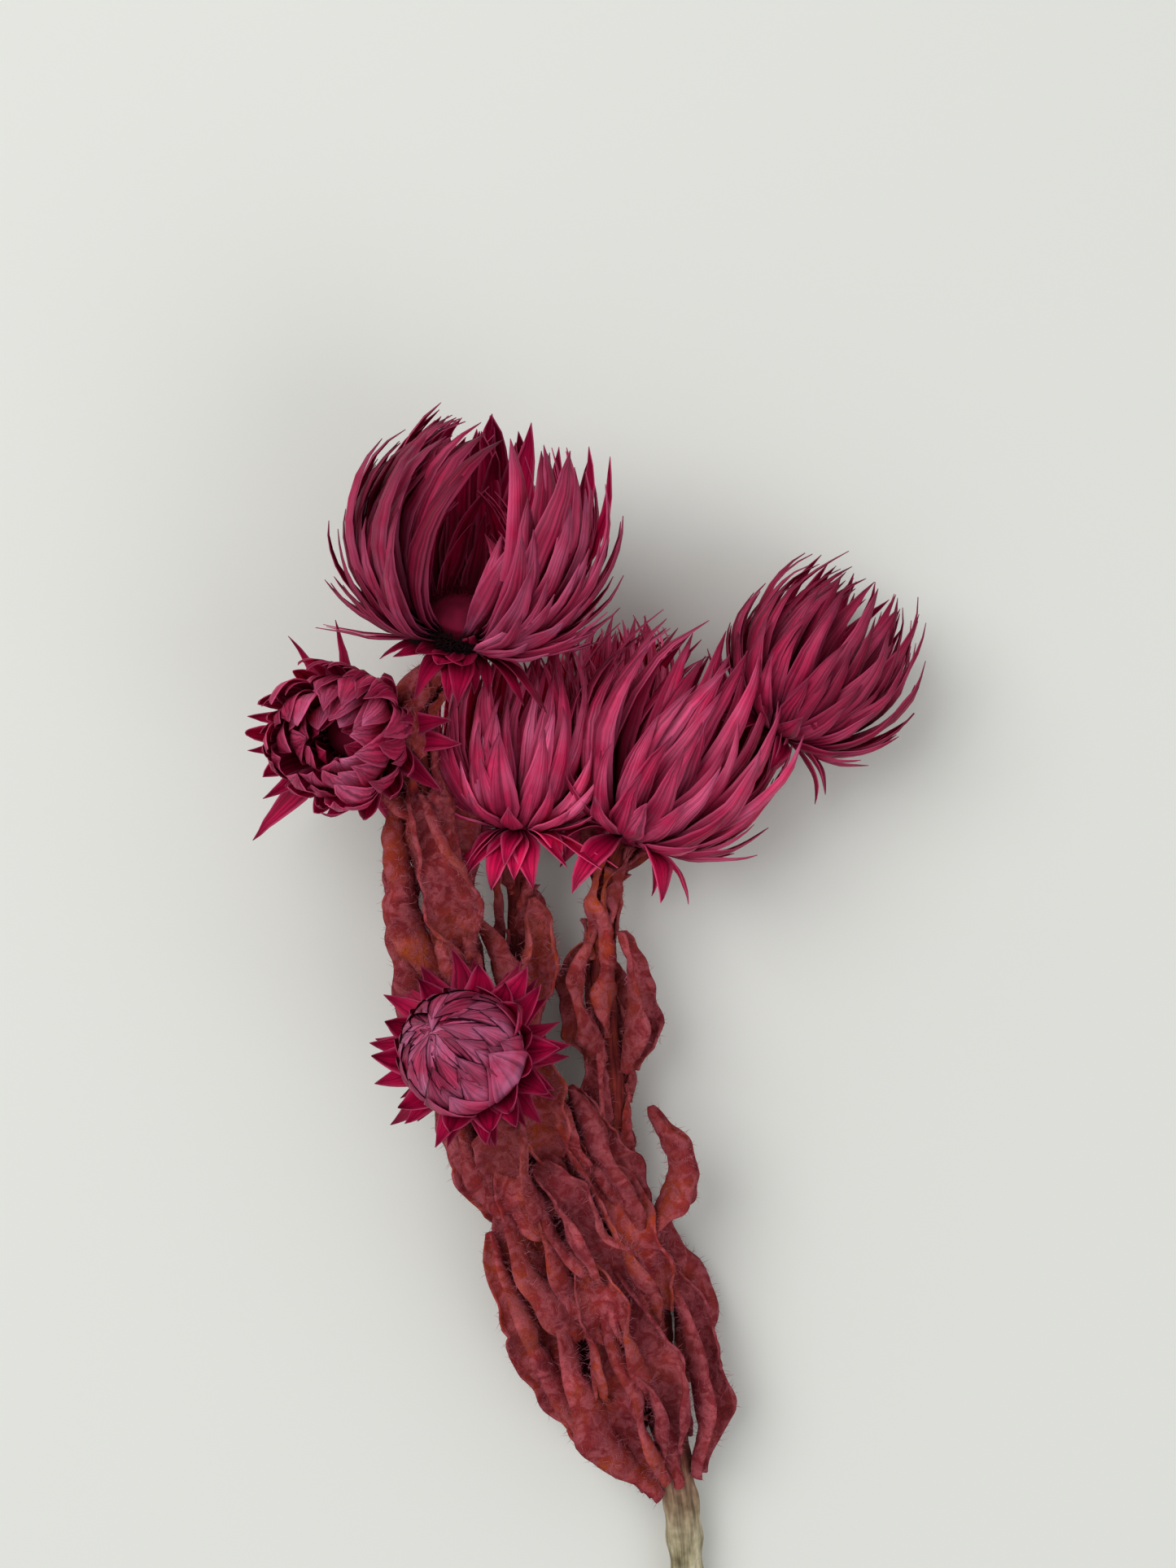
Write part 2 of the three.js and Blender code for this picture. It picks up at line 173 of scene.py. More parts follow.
class Stem:
    """A stem's line with its radius, and the directions across it."""

    def __init__(self, points, radii, scars):
        self.line = spline(points) + ORIGIN
        steps = np.linalg.norm(np.diff(self.line, axis=0), axis=1)
        self.distances = np.concatenate([[0], np.cumsum(steps)])
        self.length = self.distances[-1]
        self.radii = radii
        self.scars = scars

    def at(self, distance):
        """Points, directions along, up and right at the distances from the lower end."""
        inside = np.clip(distance, 0, self.length)
        point = self._point(inside)
        ahead = self._point(np.clip(inside + 1, 0, self.length))
        behind = self._point(np.clip(inside - 1, 0, self.length))
        along = unit(ahead - behind)
        point = point + along * (distance - inside)[..., None]
        right = unit(np.cross(along, UP))
        return point, along, np.cross(right, along), right

    def _point(self, distance):
        return np.stack(
            [np.interp(distance, self.distances, self.line[:, k]) for k in range(3)], axis=-1
        )

    def radius(self, distance):
        share = np.clip(distance / self.length, 0, 1)
        swelling = 1 + SCAR_SWELLING * np.sin(2 * math.pi * share * self.scars)
        return (self.radii[0] + (self.radii[1] - self.radii[0]) * share) * swelling


stems = {name: Stem(**facts) for name, facts in STEMS.items()}

# ---- Making meshes ----------------------------------------------------------------------------------


def mesh_object(name, points, faces, uv, values, material):
    """A smooth mesh object from millimetre points, with a UV pair and named values for each point."""
    mesh = bpy.data.meshes.new(name)
    mesh.from_pydata((points * MM).tolist(), [], faces)
    mesh.materials.append(material)
    mesh.polygons.foreach_set("use_smooth", [True] * len(mesh.polygons))
    corners = np.empty(len(mesh.loops), int)
    mesh.loops.foreach_get("vertex_index", corners)
    layer = mesh.uv_layers.new(name="UVMap")
    layer.data.foreach_set("uv", np.asarray(uv, np.float32)[corners].ravel())
    for label, value in values.items():
        attribute = mesh.attributes.new(label, "FLOAT", "POINT")
        attribute.data.foreach_set("value", np.asarray(value, np.float32))
    obj = bpy.data.objects.new(name, mesh)
    bpy.context.scene.collection.objects.link(obj)
    return obj


def blade(surface, normals, half, **values):
    """A closed thin blade's points, faces, UVs and values.

    surface holds a grid of points, along by across, normals its outer side, and half the half thickness.
    """
    along, across = half.shape
    outer = (surface + normals * half[..., None]).reshape(-1, 3)
    inner = (surface - normals * half[..., None]).reshape(-1, 3)
    count = along * across
    index = np.arange(count).reshape(along, across)
    quads = np.stack([index[:-1, :-1], index[1:, :-1], index[1:, 1:], index[:-1, 1:]], axis=-1)
    quads = quads.reshape(-1, 4)
    middle = quads[len(quads) // 2]
    turn = np.cross(outer[middle[1]] - outer[middle[0]], outer[middle[3]] - outer[middle[0]])
    if turn @ normals.reshape(-1, 3)[middle[0]] < 0:
        quads = quads[:, ::-1]
        rim = np.concatenate([index[0, :], index[1:, -1], index[-1, -2::-1], index[-2:0:-1, 0]])
    else:
        rim = np.concatenate([index[:, 0], index[-1, 1:], index[-2::-1, -1], index[0, -2:0:-1]])
    ahead = np.roll(rim, -1)
    edge = np.stack([ahead, rim, rim + count, ahead + count], axis=-1)
    faces = np.vstack([quads, quads[:, ::-1] + count, edge])
    u = np.repeat(np.linspace(0, 1, along), across)
    v = np.tile(np.linspace(0, 1, across), along)
    uv = np.tile(np.stack([v, u], axis=-1), (2, 1))
    named = {"outer_side": np.repeat([1.0, 0.0], count)}
    for label, value in values.items():
        named[label] = np.tile(np.broadcast_to(value, half.shape).ravel(), 2)
    return np.vstack([outer, inner]), faces, uv, named


def blades_object(name, blades, material):
    """One mesh object that holds all the blades."""
    sizes = [len(points) for points, *_ in blades]
    starts = np.cumsum([0, *sizes[:-1]])
    points = np.vstack([b[0] for b in blades])
    faces = np.vstack([b[1] + start for b, start in zip(blades, starts)])
    uv = np.vstack([b[2] for b in blades])
    values = {label: np.concatenate([b[3][label] for b in blades]) for label in blades[0][3]}
    return mesh_object(name, points, faces.tolist(), uv, values, material)


def plain_copy(obj, name, matrix=None):
    """The evaluated object as a plain mesh object, after which the first one is gone."""
    depsgraph = bpy.context.evaluated_depsgraph_get()
    mesh = bpy.data.meshes.new_from_object(obj.evaluated_get(depsgraph), depsgraph=depsgraph)
    mesh.name = name
    if matrix is not None:
        mesh.transform(matrix)
    copy = bpy.data.objects.new(name, mesh)
    bpy.context.scene.collection.objects.link(copy)
    bpy.data.objects.remove(obj)
    return copy


PRESSED = 1.5 * MM  # what would come lower than this is pressed up by the surface it lies on


def finish_piece(obj, slot, *nodes):
    """Rests a piece on the surface, fixes it to the sprig and hides the frame's pieces that it stands
    for. Its finish, slot, is not used.
    """
    places = np.empty(len(obj.data.vertices) * 3)
    obj.data.vertices.foreach_get("co", places)
    heights = places[2::3]
    low = heights < PRESSED
    heights[low] = PRESSED * np.exp(heights[low] / PRESSED - 1)
    obj.data.vertices.foreach_set("co", places)
    obj.data.update()
    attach(obj, "root")
    if nodes:
        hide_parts(*nodes)


# ---- Nodes ------------------------------------------------------------------------------------------


def add(tree, kind, inputs=None, **settings):
    """Adds a node. inputs gives sockets, by name or number, a value or another node's output."""
    node = tree.nodes.new(kind)
    for key, value in settings.items():
        setattr(node, key, value)
    for key, value in (inputs or {}).items():
        if isinstance(value, bpy.types.NodeSocket):
            tree.links.new(value, node.inputs[key])
        elif isinstance(value, bpy.types.Node):
            tree.links.new(value.outputs[0], node.inputs[key])
        else:
            node.inputs[key].default_value = value
    return node


def srgb(hex_colour):
    """A hex colour as linear red, green, blue and alpha."""
    shares = [int(hex_colour[i : i + 2], 16) / 255 for i in (1, 3, 5)]
    return [c / 12.92 if c <= 0.04045 else ((c + 0.055) / 1.055) ** 2.4 for c in shares] + [1]


def ramp(tree, value, stops):
    """A colour ramp node: stops is a list of (place, hex colour)."""
    node = add(tree, "ShaderNodeValToRGB", {"Fac": value})
    elements = node.color_ramp.elements
    while len(elements) < len(stops):
        elements.new(0.5)
    for element, (place, colour) in zip(elements, stops):
        element.position = place
        element.color = srgb(colour)
    return node


def blended(tree, share, first, second, how="MIX"):
    """Two colours mixed by a share. Each is a hex colour or a node's output."""
    node = add(tree, "ShaderNodeMix", {0: share}, data_type="RGBA", blend_type=how)
    for number, colour in ((6, first), (7, second)):
        if isinstance(colour, str):
            node.inputs[number].default_value = srgb(colour)
        else:
            tree.links.new(colour, node.inputs[number])
    return node.outputs[2]


def new_material(name):
    material = bpy.data.materials.new(name)
    material.use_nodes = True
    material.node_tree.nodes.clear()
    return material, material.node_tree


def pattern_scale(size_mm):
    """The scale that makes a texture's features this size, on Object coordinates in metres."""
    return 1 / (size_mm * MM)


# ---- Materials --------------------------------------------------------------------------------------


def papery_bract():
    """Dyed everlasting bracts: thin, dry and satiny, with fine veins along them. Light comes through.

    Their inner sides are crimson. Their outer sides carry a painted mauve sheen, set row by row, and
    their margins a painted highlight, or a dark rim on a shut bud's scales.
    """
    material, tree = new_material("papery_bract")
    uv = add(tree, "ShaderNodeUVMap", uv_map="UVMap")
    place_on = add(tree, "ShaderNodeSeparateXYZ", {0: uv}).outputs
    tint, outer, fade, edge, glow = (
        add(tree, "ShaderNodeAttribute", attribute_name=label).outputs["Fac"]
        for label in ("tint", "outer_side", "fade", "edge", "glow")
    )
    place = add(tree, "ShaderNodeTexCoord").outputs["Object"]
    blotches = add(
        tree, "ShaderNodeTexNoise", {"Vector": place, "Scale": pattern_scale(6), "Detail": 3.0}
    ).outputs[0]

    veins_on = add(tree, "ShaderNodeMapping", {0: uv, "Scale": (11, 0.9, 1)})
    shift = add(tree, "ShaderNodeMath", {0: tint, 1: 37.0}, operation="MULTIPLY")
    vein_noise = add(
        tree,
        "ShaderNodeTexNoise",
        {"Vector": veins_on, "W": shift, "Scale": 1.0, "Detail": 3.0},
        noise_dimensions="4D",
    ).outputs[0]
    veins = ramp(tree, vein_noise, [(0.36, "#7E7E7E"), (0.6, "#FFFFFF")])

    inside = ramp(
        tree,
        place_on["Y"],
        [(0.0, "#4A0018"), (0.3, "#9C0A3C"), (0.72, "#C4124F"), (0.97, "#8A0C38")],
    )
    outside = ramp(
        tree,
        place_on["Y"],
        [(0.0, "#5E0322"), (0.3, "#A50F42"), (0.75, "#C01C50"), (0.97, "#8A0C38")],
    )
    # Painted sheen: the outer sides are mixed towards pale mauve, in blotches, by each bract's tint and
    # the row's share.
    uneven = add(tree, "ShaderNodeMapRange", {0: blotches, 1: 0.38, 2: 0.62, 3: 0.25, 4: 1.0})
    varied = add(tree, "ShaderNodeMapRange", {0: tint, 1: 0.0, 2: 1.0, 3: 0.3, 4: 1.0})
    share = add(tree, "ShaderNodeMath", {0: uneven, 1: varied}, operation="MULTIPLY")
    share = add(tree, "ShaderNodeMath", {0: share, 1: fade}, operation="MULTIPLY")
    with_painted_sheen = blended(tree, share.outputs[0], outside.outputs[0], "#C86C96")
    both = blended(tree, outer, inside.outputs[0], with_painted_sheen)
    veined = blended(tree, 0.8, both, veins.outputs[0], "MULTIPLY")

    # Painted highlight along the margins, as where light shines through them, by the row's share; below
    # zero the margins get a dark rim instead.
    off_centre = add(tree, "ShaderNodeMath", {0: place_on["X"], 1: 0.5}, operation="SUBTRACT")
    off_centre = add(tree, "ShaderNodeMath", {0: off_centre}, operation="ABSOLUTE")
    margin_highlight_share = add(tree, "ShaderNodeMapRange", {0: off_centre, 1: 0.36, 2: 0.5, 3: 0.0, 4: 0.75})
    painted_highlight = add(tree, "ShaderNodeMath", {0: margin_highlight_share, 1: edge}, operation="MULTIPLY", use_clamp=True)
    highlighted = blended(tree, painted_highlight.outputs[0], veined, "#DC5C8C")
    rim = add(tree, "ShaderNodeMapRange", {0: off_centre, 1: 0.4, 2: 0.47, 3: 0.0, 4: -1.0})
    dark = add(tree, "ShaderNodeMath", {0: rim, 1: edge}, operation="MULTIPLY", use_clamp=True)
    outlined = blended(tree, dark.outputs[0], highlighted, "#34031C")
    # A random tone for each bract, times painted light: the row's share lightens or darkens the colour
    # in place of light and shade on the head.
    value = add(tree, "ShaderNodeMapRange", {0: tint, 1: 0.0, 2: 1.0, 3: 0.78, 4: 1.16})
    value = add(tree, "ShaderNodeMath", {0: value, 1: glow}, operation="MULTIPLY")
    colour = add(tree, "ShaderNodeHueSaturation", {"Value": value, "Color": outlined})

    bump = add(tree, "ShaderNodeBump", {"Strength": 0.6, "Distance": 0.15 * MM, "Height": vein_noise})
    shader = add(
        tree,
        "ShaderNodeBsdfPrincipled",
        {
            "Base Color": colour,
            "Roughness": 0.45,
            "IOR": 1.45,
            "Specular IOR Level": 0.16,
            "Normal": bump,
        },
    )
    through = add(tree, "ShaderNodeBsdfTranslucent", {"Color": colour, "Normal": bump})
    mixed = add(tree, "ShaderNodeMixShader", {0: 0.3, 1: shader, 2: through})
    add(tree, "ShaderNodeOutputMaterial", {"Surface": mixed})
    return material


def felted_leaf():
    """Leaves under matted wool: dry red-brown and orange skin, with dyed purple felt over it. Painted
    shade darkens its creases and a painted highlight lightens its ridges.
    """
    material, tree = new_material("felted_leaf")
    place = add(tree, "ShaderNodeTexCoord").outputs["Object"]
    tint = add(tree, "ShaderNodeAttribute", attribute_name="tint").outputs["Fac"]
    ridge = add(tree, "ShaderNodeAttribute", attribute_name="ridge").outputs["Fac"]
    patches = add(
        tree, "ShaderNodeTexNoise", {"Vector": place, "Scale": pattern_scale(8), "Detail": 4.0}
    ).outputs[0]
    felt = add(
        tree,
        "ShaderNodeTexNoise",
        {"Vector": place, "Scale": pattern_scale(2.2), "Detail": 6.0, "Distortion": 1.0},
    ).outputs[0]
    hairs_in_felt = add(
        tree,
        "ShaderNodeTexNoise",
        {"Vector": place, "Scale": pattern_scale(0.5), "Detail": 3.0, "Distortion": 2.5},
    ).outputs[0]
    skin = ramp(
        tree,
        patches,
        [(0.3, "#7A2028"), (0.45, "#A0302A"), (0.58, "#B84622"), (0.72, "#C8581E")],
    )
    warm = add(tree, "ShaderNodeMapRange", {0: tint, 1: 0.0, 2: 1.0, 3: 0.05, 4: 0.8})
    purple = blended(tree, warm.outputs[0], skin.outputs[0], "#862C38")
    wool_share = add(tree, "ShaderNodeMapRange", {0: felt, 1: 0.42, 2: 0.6, 3: 0.05, 4: 0.7})
    woolly = blended(tree, wool_share.outputs[0], purple, "#C0606A")
    thread = add(tree, "ShaderNodeMapRange", {0: hairs_in_felt, 1: 0.3, 2: 0.7, 3: 0.9, 4: 1.3})
    # Painted shade in the folds and painted highlight on the ridges.
    crease_shade = add(tree, "ShaderNodeMapRange", {0: ridge, 1: -0.8, 2: 0.8, 3: 0.6, 4: 1.3})
    value = add(tree, "ShaderNodeMath", {0: thread, 1: crease_shade}, operation="MULTIPLY")
    colour = add(tree, "ShaderNodeHueSaturation", {"Value": value, "Color": woolly})
    heights = add(tree, "ShaderNodeMath", {0: felt, 1: hairs_in_felt}, operation="ADD")
    bump = add(tree, "ShaderNodeBump", {"Strength": 0.7, "Distance": 0.5 * MM, "Height": heights})
    shader = add(
        tree,
        "ShaderNodeBsdfPrincipled",
        {
            "Base Color": colour,
            "Roughness": 0.95,
            "Specular IOR Level": 0.05,
            "Sheen Weight": 0.12,
            "Sheen Roughness": 0.5,
            "Sheen Tint": srgb("#C86A7C"),
            "Normal": bump,
        },
    )
    add(tree, "ShaderNodeOutputMaterial", {"Surface": shader})
    return material


def dry_bark():
    """The stem's bark: bare and straw-grey at the cut end, russet and downy higher up."""
    material, tree = new_material("dry_bark")
    place = add(tree, "ShaderNodeTexCoord").outputs["Object"]
    uv = add(tree, "ShaderNodeUVMap", uv_map="UVMap")
    bare = add(tree, "ShaderNodeAttribute", attribute_name="bare").outputs["Fac"]
    fibres_on = add(tree, "ShaderNodeMapping", {0: uv, "Scale": (26, 1.2, 1)})
    fibres = add(
        tree, "ShaderNodeTexNoise", {"Vector": fibres_on, "Scale": 1.0, "Detail": 4.0}
    ).outputs[0]
    patches = add(
        tree, "ShaderNodeTexNoise", {"Vector": place, "Scale": pattern_scale(4), "Detail": 4.0}
    ).outputs[0]
    straw = ramp(
        tree, patches, [(0.32, "#7A6E54"), (0.5, "#A89E80"), (0.64, "#C8BEA2"), (0.75, "#9A7458")]
    )
    russet = ramp(tree, patches, [(0.3, "#521820"), (0.5, "#742626"), (0.7, "#8A3428")])
    colour = blended(tree, bare, russet.outputs[0], straw.outputs[0])
    lines = ramp(tree, fibres, [(0.35, "#7C7C7C"), (0.6, "#FFFFFF")])
    streaked = blended(tree, 0.7, colour, lines.outputs[0], "MULTIPLY")
    bump = add(tree, "ShaderNodeBump", {"Strength": 0.7, "Distance": 0.3 * MM, "Height": fibres})
    shader = add(
        tree,
        "ShaderNodeBsdfPrincipled",
        {"Base Color": streaked, "Roughness": 0.85, "Specular IOR Level": 0.1, "Normal": bump},
    )
    add(tree, "ShaderNodeOutputMaterial", {"Surface": shader})
    return material


def fibre_material(name, light, dark):
    """Fine dyed plant hairs: matt threads."""
    material, tree = new_material(name)
    place = add(tree, "ShaderNodeTexCoord").outputs["Object"]
    patches = add(tree, "ShaderNodeTexNoise", {"Vector": place, "Scale": pattern_scale(5)})
    colour = ramp(tree, patches.outputs[0], [(0.35, dark), (0.65, light)])
    shader = add(
        tree,
        "ShaderNodeBsdfPrincipled",
        {"Base Color": colour, "Roughness": 0.85, "Specular IOR Level": 0.2},
    )
    add(tree, "ShaderNodeOutputMaterial", {"Surface": shader})
    return material


def pale_floor():
    """A matt, nearly white studio surface."""
    material, tree = new_material("pale_floor")
    shader = add(tree, "ShaderNodeBsdfPrincipled", {"Base Color": srgb("#D2D3D0"), "Roughness": 0.9})
    add(tree, "ShaderNodeOutputMaterial", {"Surface": shader})
    return material


PAPER = papery_bract()
FELT = felted_leaf()
BARK = dry_bark()
LEAF_WOOL = fibre_material("leaf_wool", "#C07080", "#7A3040")
FLORET_VELVET = fibre_material("floret_velvet", "#8E103A", "#5A0626")
DARK_PAPPUS = fibre_material("dark_pappus", "#22060E", "#100308")

# ---- Stems as meshes --------------------------------------------------------------------------------

BARE_UP_TO = 46  # how far the bark is bare above the cut end


def stem_object(name):
    """A stem's bark: a tube with ribs and scars, closed at both ends."""
    stem = stems[name]
    rng = np.random.default_rng(len(name))
    sides = 24
    rings = int(stem.length / 0.8)
    distance = np.linspace(0, stem.length, rings)
    point, along, up, right = stem.at(distance)
    turn = np.linspace(0, 2 * math.pi, sides, endpoint=False)
    phase = rng.uniform(0, 6, 4)
    ribs = 0.05 * np.sin(5 * turn + phase[0] + distance[:, None] * 0.03)
    ribs += 0.03 * np.sin(9 * turn + phase[1] - distance[:, None] * 0.11)
    knots = 0.06 * np.sin(distance[:, None] * 0.9 + phase[2]) * np.sin(2 * turn + phase[3])
    radius = stem.radius(distance)[:, None] * (0.93 + ribs + knots)
    outward = up[:, None] * np.cos(turn)[:, None] + right[:, None] * np.sin(turn)[:, None]
    wall = point[:, None] + outward * radius[..., None]
    ends = np.stack([point[0] + along[0] * 0.25, point[-1]])
    points = np.vstack([wall.reshape(-1, 3), ends])
    index = np.arange(rings * sides).reshape(rings, sides)
    ahead = np.roll(index, -1, axis=1)
    quads = np.stack([index[:-1], index[1:], ahead[1:], ahead[:-1]], axis=-1).reshape(-1, 4)
    faces = quads.tolist()
    first, last = rings * sides, rings * sides + 1
    for i in range(sides):
        j = (i + 1) % sides
        faces.append([first, int(index[0, i]), int(index[0, j])])
        faces.append([last, int(index[-1, j]), int(index[-1, i])])
    uv = np.stack([np.tile(turn / (2 * math.pi), rings), np.repeat(distance / 10, sides)], axis=-1)
    uv = np.vstack([uv, [[0.5, 0], [0.5, 0]]])
    bare = np.zeros(rings)
    if name == "main_stem":
        bare = 1 - smoothstep(distance, BARE_UP_TO - 10, BARE_UP_TO + 14)
    bare = np.concatenate([np.repeat(bare, sides), [bare[0], bare[-1]]])
    obj = mesh_object(f"{name}_bark", points, faces, uv, {"bare": bare}, BARK)
    finish_piece(obj, "bark", name)


for name in STEMS:
    stem_object(name)

# ---- Leaves -----------------------------------------------------------------------------------------


def leaf_at(at, around, reach, width, bow, tip, **more):
    """One leaf's facts, much as on the frame.

    at is where it leaves its stem, around the side it is on, reach how far it climbs, and bow and tip
    how far its middle and point stand off. wrap is how far it winds, roll how its margins turn, and
    tint its colour, from russet, 0, to purple, 1.
    """
    return {"at": at, "around": around, "reach": reach, "width": width, "bow": bow, "tip": tip, **more}


LEAVES = {
    "lower_leaf": {
        "stem": "main_stem",
        "list": [
            leaf_at(52, -35, 40, 9, 5, 3, wrap=-14),
            leaf_at(50, -80, 58, 9.5, 11, 11, wrap=5),
            leaf_at(57, 10, 34, 8.5, 3, 2, wrap=-16),
            leaf_at(51, 75, 40, 7.5, 3, 2, wrap=8),
            leaf_at(66, 120, 32, 8, 4, 5),
            leaf_at(56, 178, 42, 9, 0.9, 0.6, roll=45),
            leaf_at(62, -118, 46, 9, 4, 7),
        ],
    },
    "middle_leaf": {
        "stem": "main_stem",
        "list": [
            leaf_at(86, -62, 36, 10.5, 3, 2, wrap=20),
            leaf_at(88, 5, 26, 10, 3, 3, wrap=-12),
            leaf_at(90, 72, 32, 9, 3.5, 7),
            leaf_at(94, -110, 34, 9, 3, 2),
            leaf_at(92, 165, 34, 9, 4, 3),
            leaf_at(104, 60, 26, 9, 2, 1),
            leaf_at(136, 38, 26, 9, 0.8, 0.4, roll=-45),
            leaf_at(122, -52, 36, 9, 0.8, 0.4, roll=-45),
            leaf_at(124, -150, 40, 9.5, 8, 16, tint=1),
            leaf_at(123, 112, 32, 8, 2.2, 1),
            leaf_at(126, 178, 34, 9, 4, 3),
        ],
    },
    "upper_leaf": {
        "stem": "main_stem",
        "list": [
            leaf_at(160, -25, 22, 9.5, 1.2, 0.6, roll=-45),
            leaf_at(164, 65, 22, 9, 1.2, 0.6, roll=-45),
            leaf_at(160, 150, 26, 8.5, 1.6, 1),
            leaf_at(184, 10, 14, 7.5, 0.8, 0.3, roll=-45),
        ],
    },
    "branch_leaf": {
        "stem": "right_branch",
        "list": [
            leaf_at(20, 72, 24, 9.5, 5, 4),
            leaf_at(26, -30, 30, 7.5, 1.5, 1),
            leaf_at(44, 170, 24, 7.5, 2, 1),
            leaf_at(50, 65, 24, 8, 2, 1),
            leaf_at(52, -50, 20, 7.5, 1.5, 1),
        ],
    },
    "stalk_leaf": {
        "stem": "middle_stalk",
        "list": [leaf_at(8, 35, 22, 7.5, 1.5, 1), leaf_at(10, 150, 20, 7, 1.5, 1)],
    },
}


def crumple(rng, x, y, size, ridges=6):
    """Creases, from -1 in a fold to 1 on a ridge, for places x and y in millimetres."""
    total = np.zeros(np.broadcast(x, y).shape)
    for i in range(ridges):
        angle = rng.uniform(0, math.pi)
        pitch = size * rng.uniform(0.6, 1.6)
        wave = (x * math.cos(angle) + y * math.sin(angle)) / pitch + rng.uniform(0, 6)
        bend = 0.6 * np.sin((x * math.sin(angle) - y * math.cos(angle)) / pitch * 0.7 + i)
        total += 1 - 2 * np.abs(np.sin(wave + bend)) ** 0.8
    return np.clip(total / (0.55 * ridges), -1, 1)


def leaf_blade(stem, leaf, seed, along=64, across=17):
    """A woolly leaf: a thick felted blade with rolled margins, a fold along it and crumpled skin."""
    rng = np.random.default_rng(seed)
    u = np.linspace(0, 1, along)
    v = np.linspace(-1, 1, across)
    reach, width = leaf["reach"], leaf["width"]

    def line(share):
        point, _, up, right = stem.at(leaf["at"] + reach * share)
        around = np.radians(leaf["around"] + leaf.get("wrap", 0) * share)[:, None]
        out = up * np.cos(around) + right * np.sin(around)
        off = stem.radius(leaf["at"] + reach * share) + LEAF_THICKNESS / 2 + CLEARANCE
        stand = leaf["bow"] * np.sin(math.pi * share) + leaf["tip"] * share**2
        return point + out * (off + stand)[:, None], out

    point, out = line(u)
    ahead = unit(line(u + 0.01)[0] - line(u - 0.01)[0])
    side = unit(np.cross(ahead, out))
    face = np.cross(side, ahead)
    sway = rng.uniform(0.06, 0.13) * width
    point = point + side * (sway * np.sin(u * rng.uniform(4, 8) + rng.uniform(0, 6)))[:, None]
    twist = math.radians(rng.uniform(-35, 35)) * np.sin(u * rng.uniform(1.5, 3.5))[:, None]
    side, face = (
        side * np.cos(twist) + face * np.sin(twist),
        face * np.cos(twist) - side * np.sin(twist),
    )

    outline = (0.34 + 0.66 * smoothstep(u, 0, 0.3)) * np.maximum(1 - u**2.4, 0.003) ** 0.72
    waves = 1 + 0.1 * np.sin(u * 17 + rng.uniform(0, 6)) + 0.07 * np.sin(u * 31 + rng.uniform(0, 6))
    half_width = 1.25 * width / 2 * outline * waves
    roll = math.radians(leaf.get("roll", 60)) * (1 + 0.35 * np.sin(u * 9 + rng.uniform(0, 6)))
    curl = math.radians(rng.uniform(35, 125)) * (0.65 + 0.35 * np.sin(u * 7 + rng.uniform(0, 6)))
    fold = math.radians(rng.uniform(10, 28))
    turned_in = np.maximum(np.abs(v) - 0.5, 0) ** 1.4 * 2.2
    bend = roll[:, None] * v + np.sign(v) * (np.sign(roll) * curl)[:, None] * turned_in
    bend += np.sign(v) * fold * np.sign(roll[0])
    step = half_width[:, None] * (2 / (across - 1))
    middle = across // 2
    sideways = np.cumsum(np.cos(bend) * step, axis=1)
    upwards = np.cumsum(np.sin(bend) * step, axis=1)
    sideways -= sideways[:, middle : middle + 1]
    upwards -= upwards[:, middle : middle + 1]

    x = half_width[:, None] * v
    y = np.broadcast_to((u * reach)[:, None], x.shape)
    pleats = crumple(rng, x, y * 0.3, 2.4)
    creases = crumple(rng, x, y, 3.4)
    fine = crumple(rng, x, y, 1.0, 5)
    surface = point[:, None] + side[:, None] * sideways[..., None] + face[:, None] * upwards[..., None]
    normals = face[:, None] * np.cos(bend)[..., None] - side[:, None] * np.sin(bend)[..., None]
    surface = surface + normals * (0.5 * pleats + 0.6 * creases + 0.16 * fine)[..., None]
    half = (0.46 - 0.2 * np.abs(v) ** 3) * (1 - 0.5 * u**2)[:, None]
    # How far each point lies in a fold or on a ridge: the leaf's colour paints shade and highlight from
    # it.
    shade = 0.35 * pleats + 0.45 * creases + 0.2 * fine
    return blade(surface, normals, half, tint=leaf.get("tint", rng.uniform(0, 1)), ridge=shade)


# More leaves clasp each stem between those: how many, and how far up the first and last ones stand.
CLASPING_LEAVES = {
    "main_stem": (22, 50, 196),
    "right_branch": (13, 3, 82),
    "left_bud_stalk": (2, 0, 7),
    "middle_stalk": (6, 1, 30),
    "low_bud_stalk": (2, 0, 3),
    "far_stalk": (5, 1, 30),
    "back_stalk": (3, 1, 16),
}
GOLDEN_ANGLE = 137.5
CLASPING_GRID = (44, 13)  # points along and across one, fewer than on the broader leaves

# Broad leaves that fill out the tuft round the main stem, one of them with its tip wound round.
TUFT_LEAVES = [
    leaf_at(98, -80, 34, 10.5, 4.5, 2.5),
    leaf_at(105, -50, 24, 11, 4, 6, wrap=70),
    leaf_at(109, -98, 30, 10, 4, 3, tint=0.9),
    leaf_at(84, -88, 36, 10, 5, 3),
    leaf_at(80, 50, 36, 9, 3, 2),
    leaf_at(74, -45, 34, 10, 4, 2, wrap=-25),
    leaf_at(112, 20, 28, 10, 4, 2, wrap=30),
    leaf_at(128, -92, 36, 10, 3, 1.5, tint=0.9),
    leaf_at(146, -75, 30, 9.5, 2, 1),
    leaf_at(150, 15, 28, 9.5, 1.5, 1, wrap=-20),
    leaf_at(49, -62, 46, 11, 8, 7, tint=0.3),
    leaf_at(60, -92, 42, 10.5, 8, 7, tint=0.6),
    leaf_at(64, -30, 34, 10, 5, 4, tint=0.2),
    leaf_at(78, -70, 34, 11, 7, 6, tint=0.4),
]


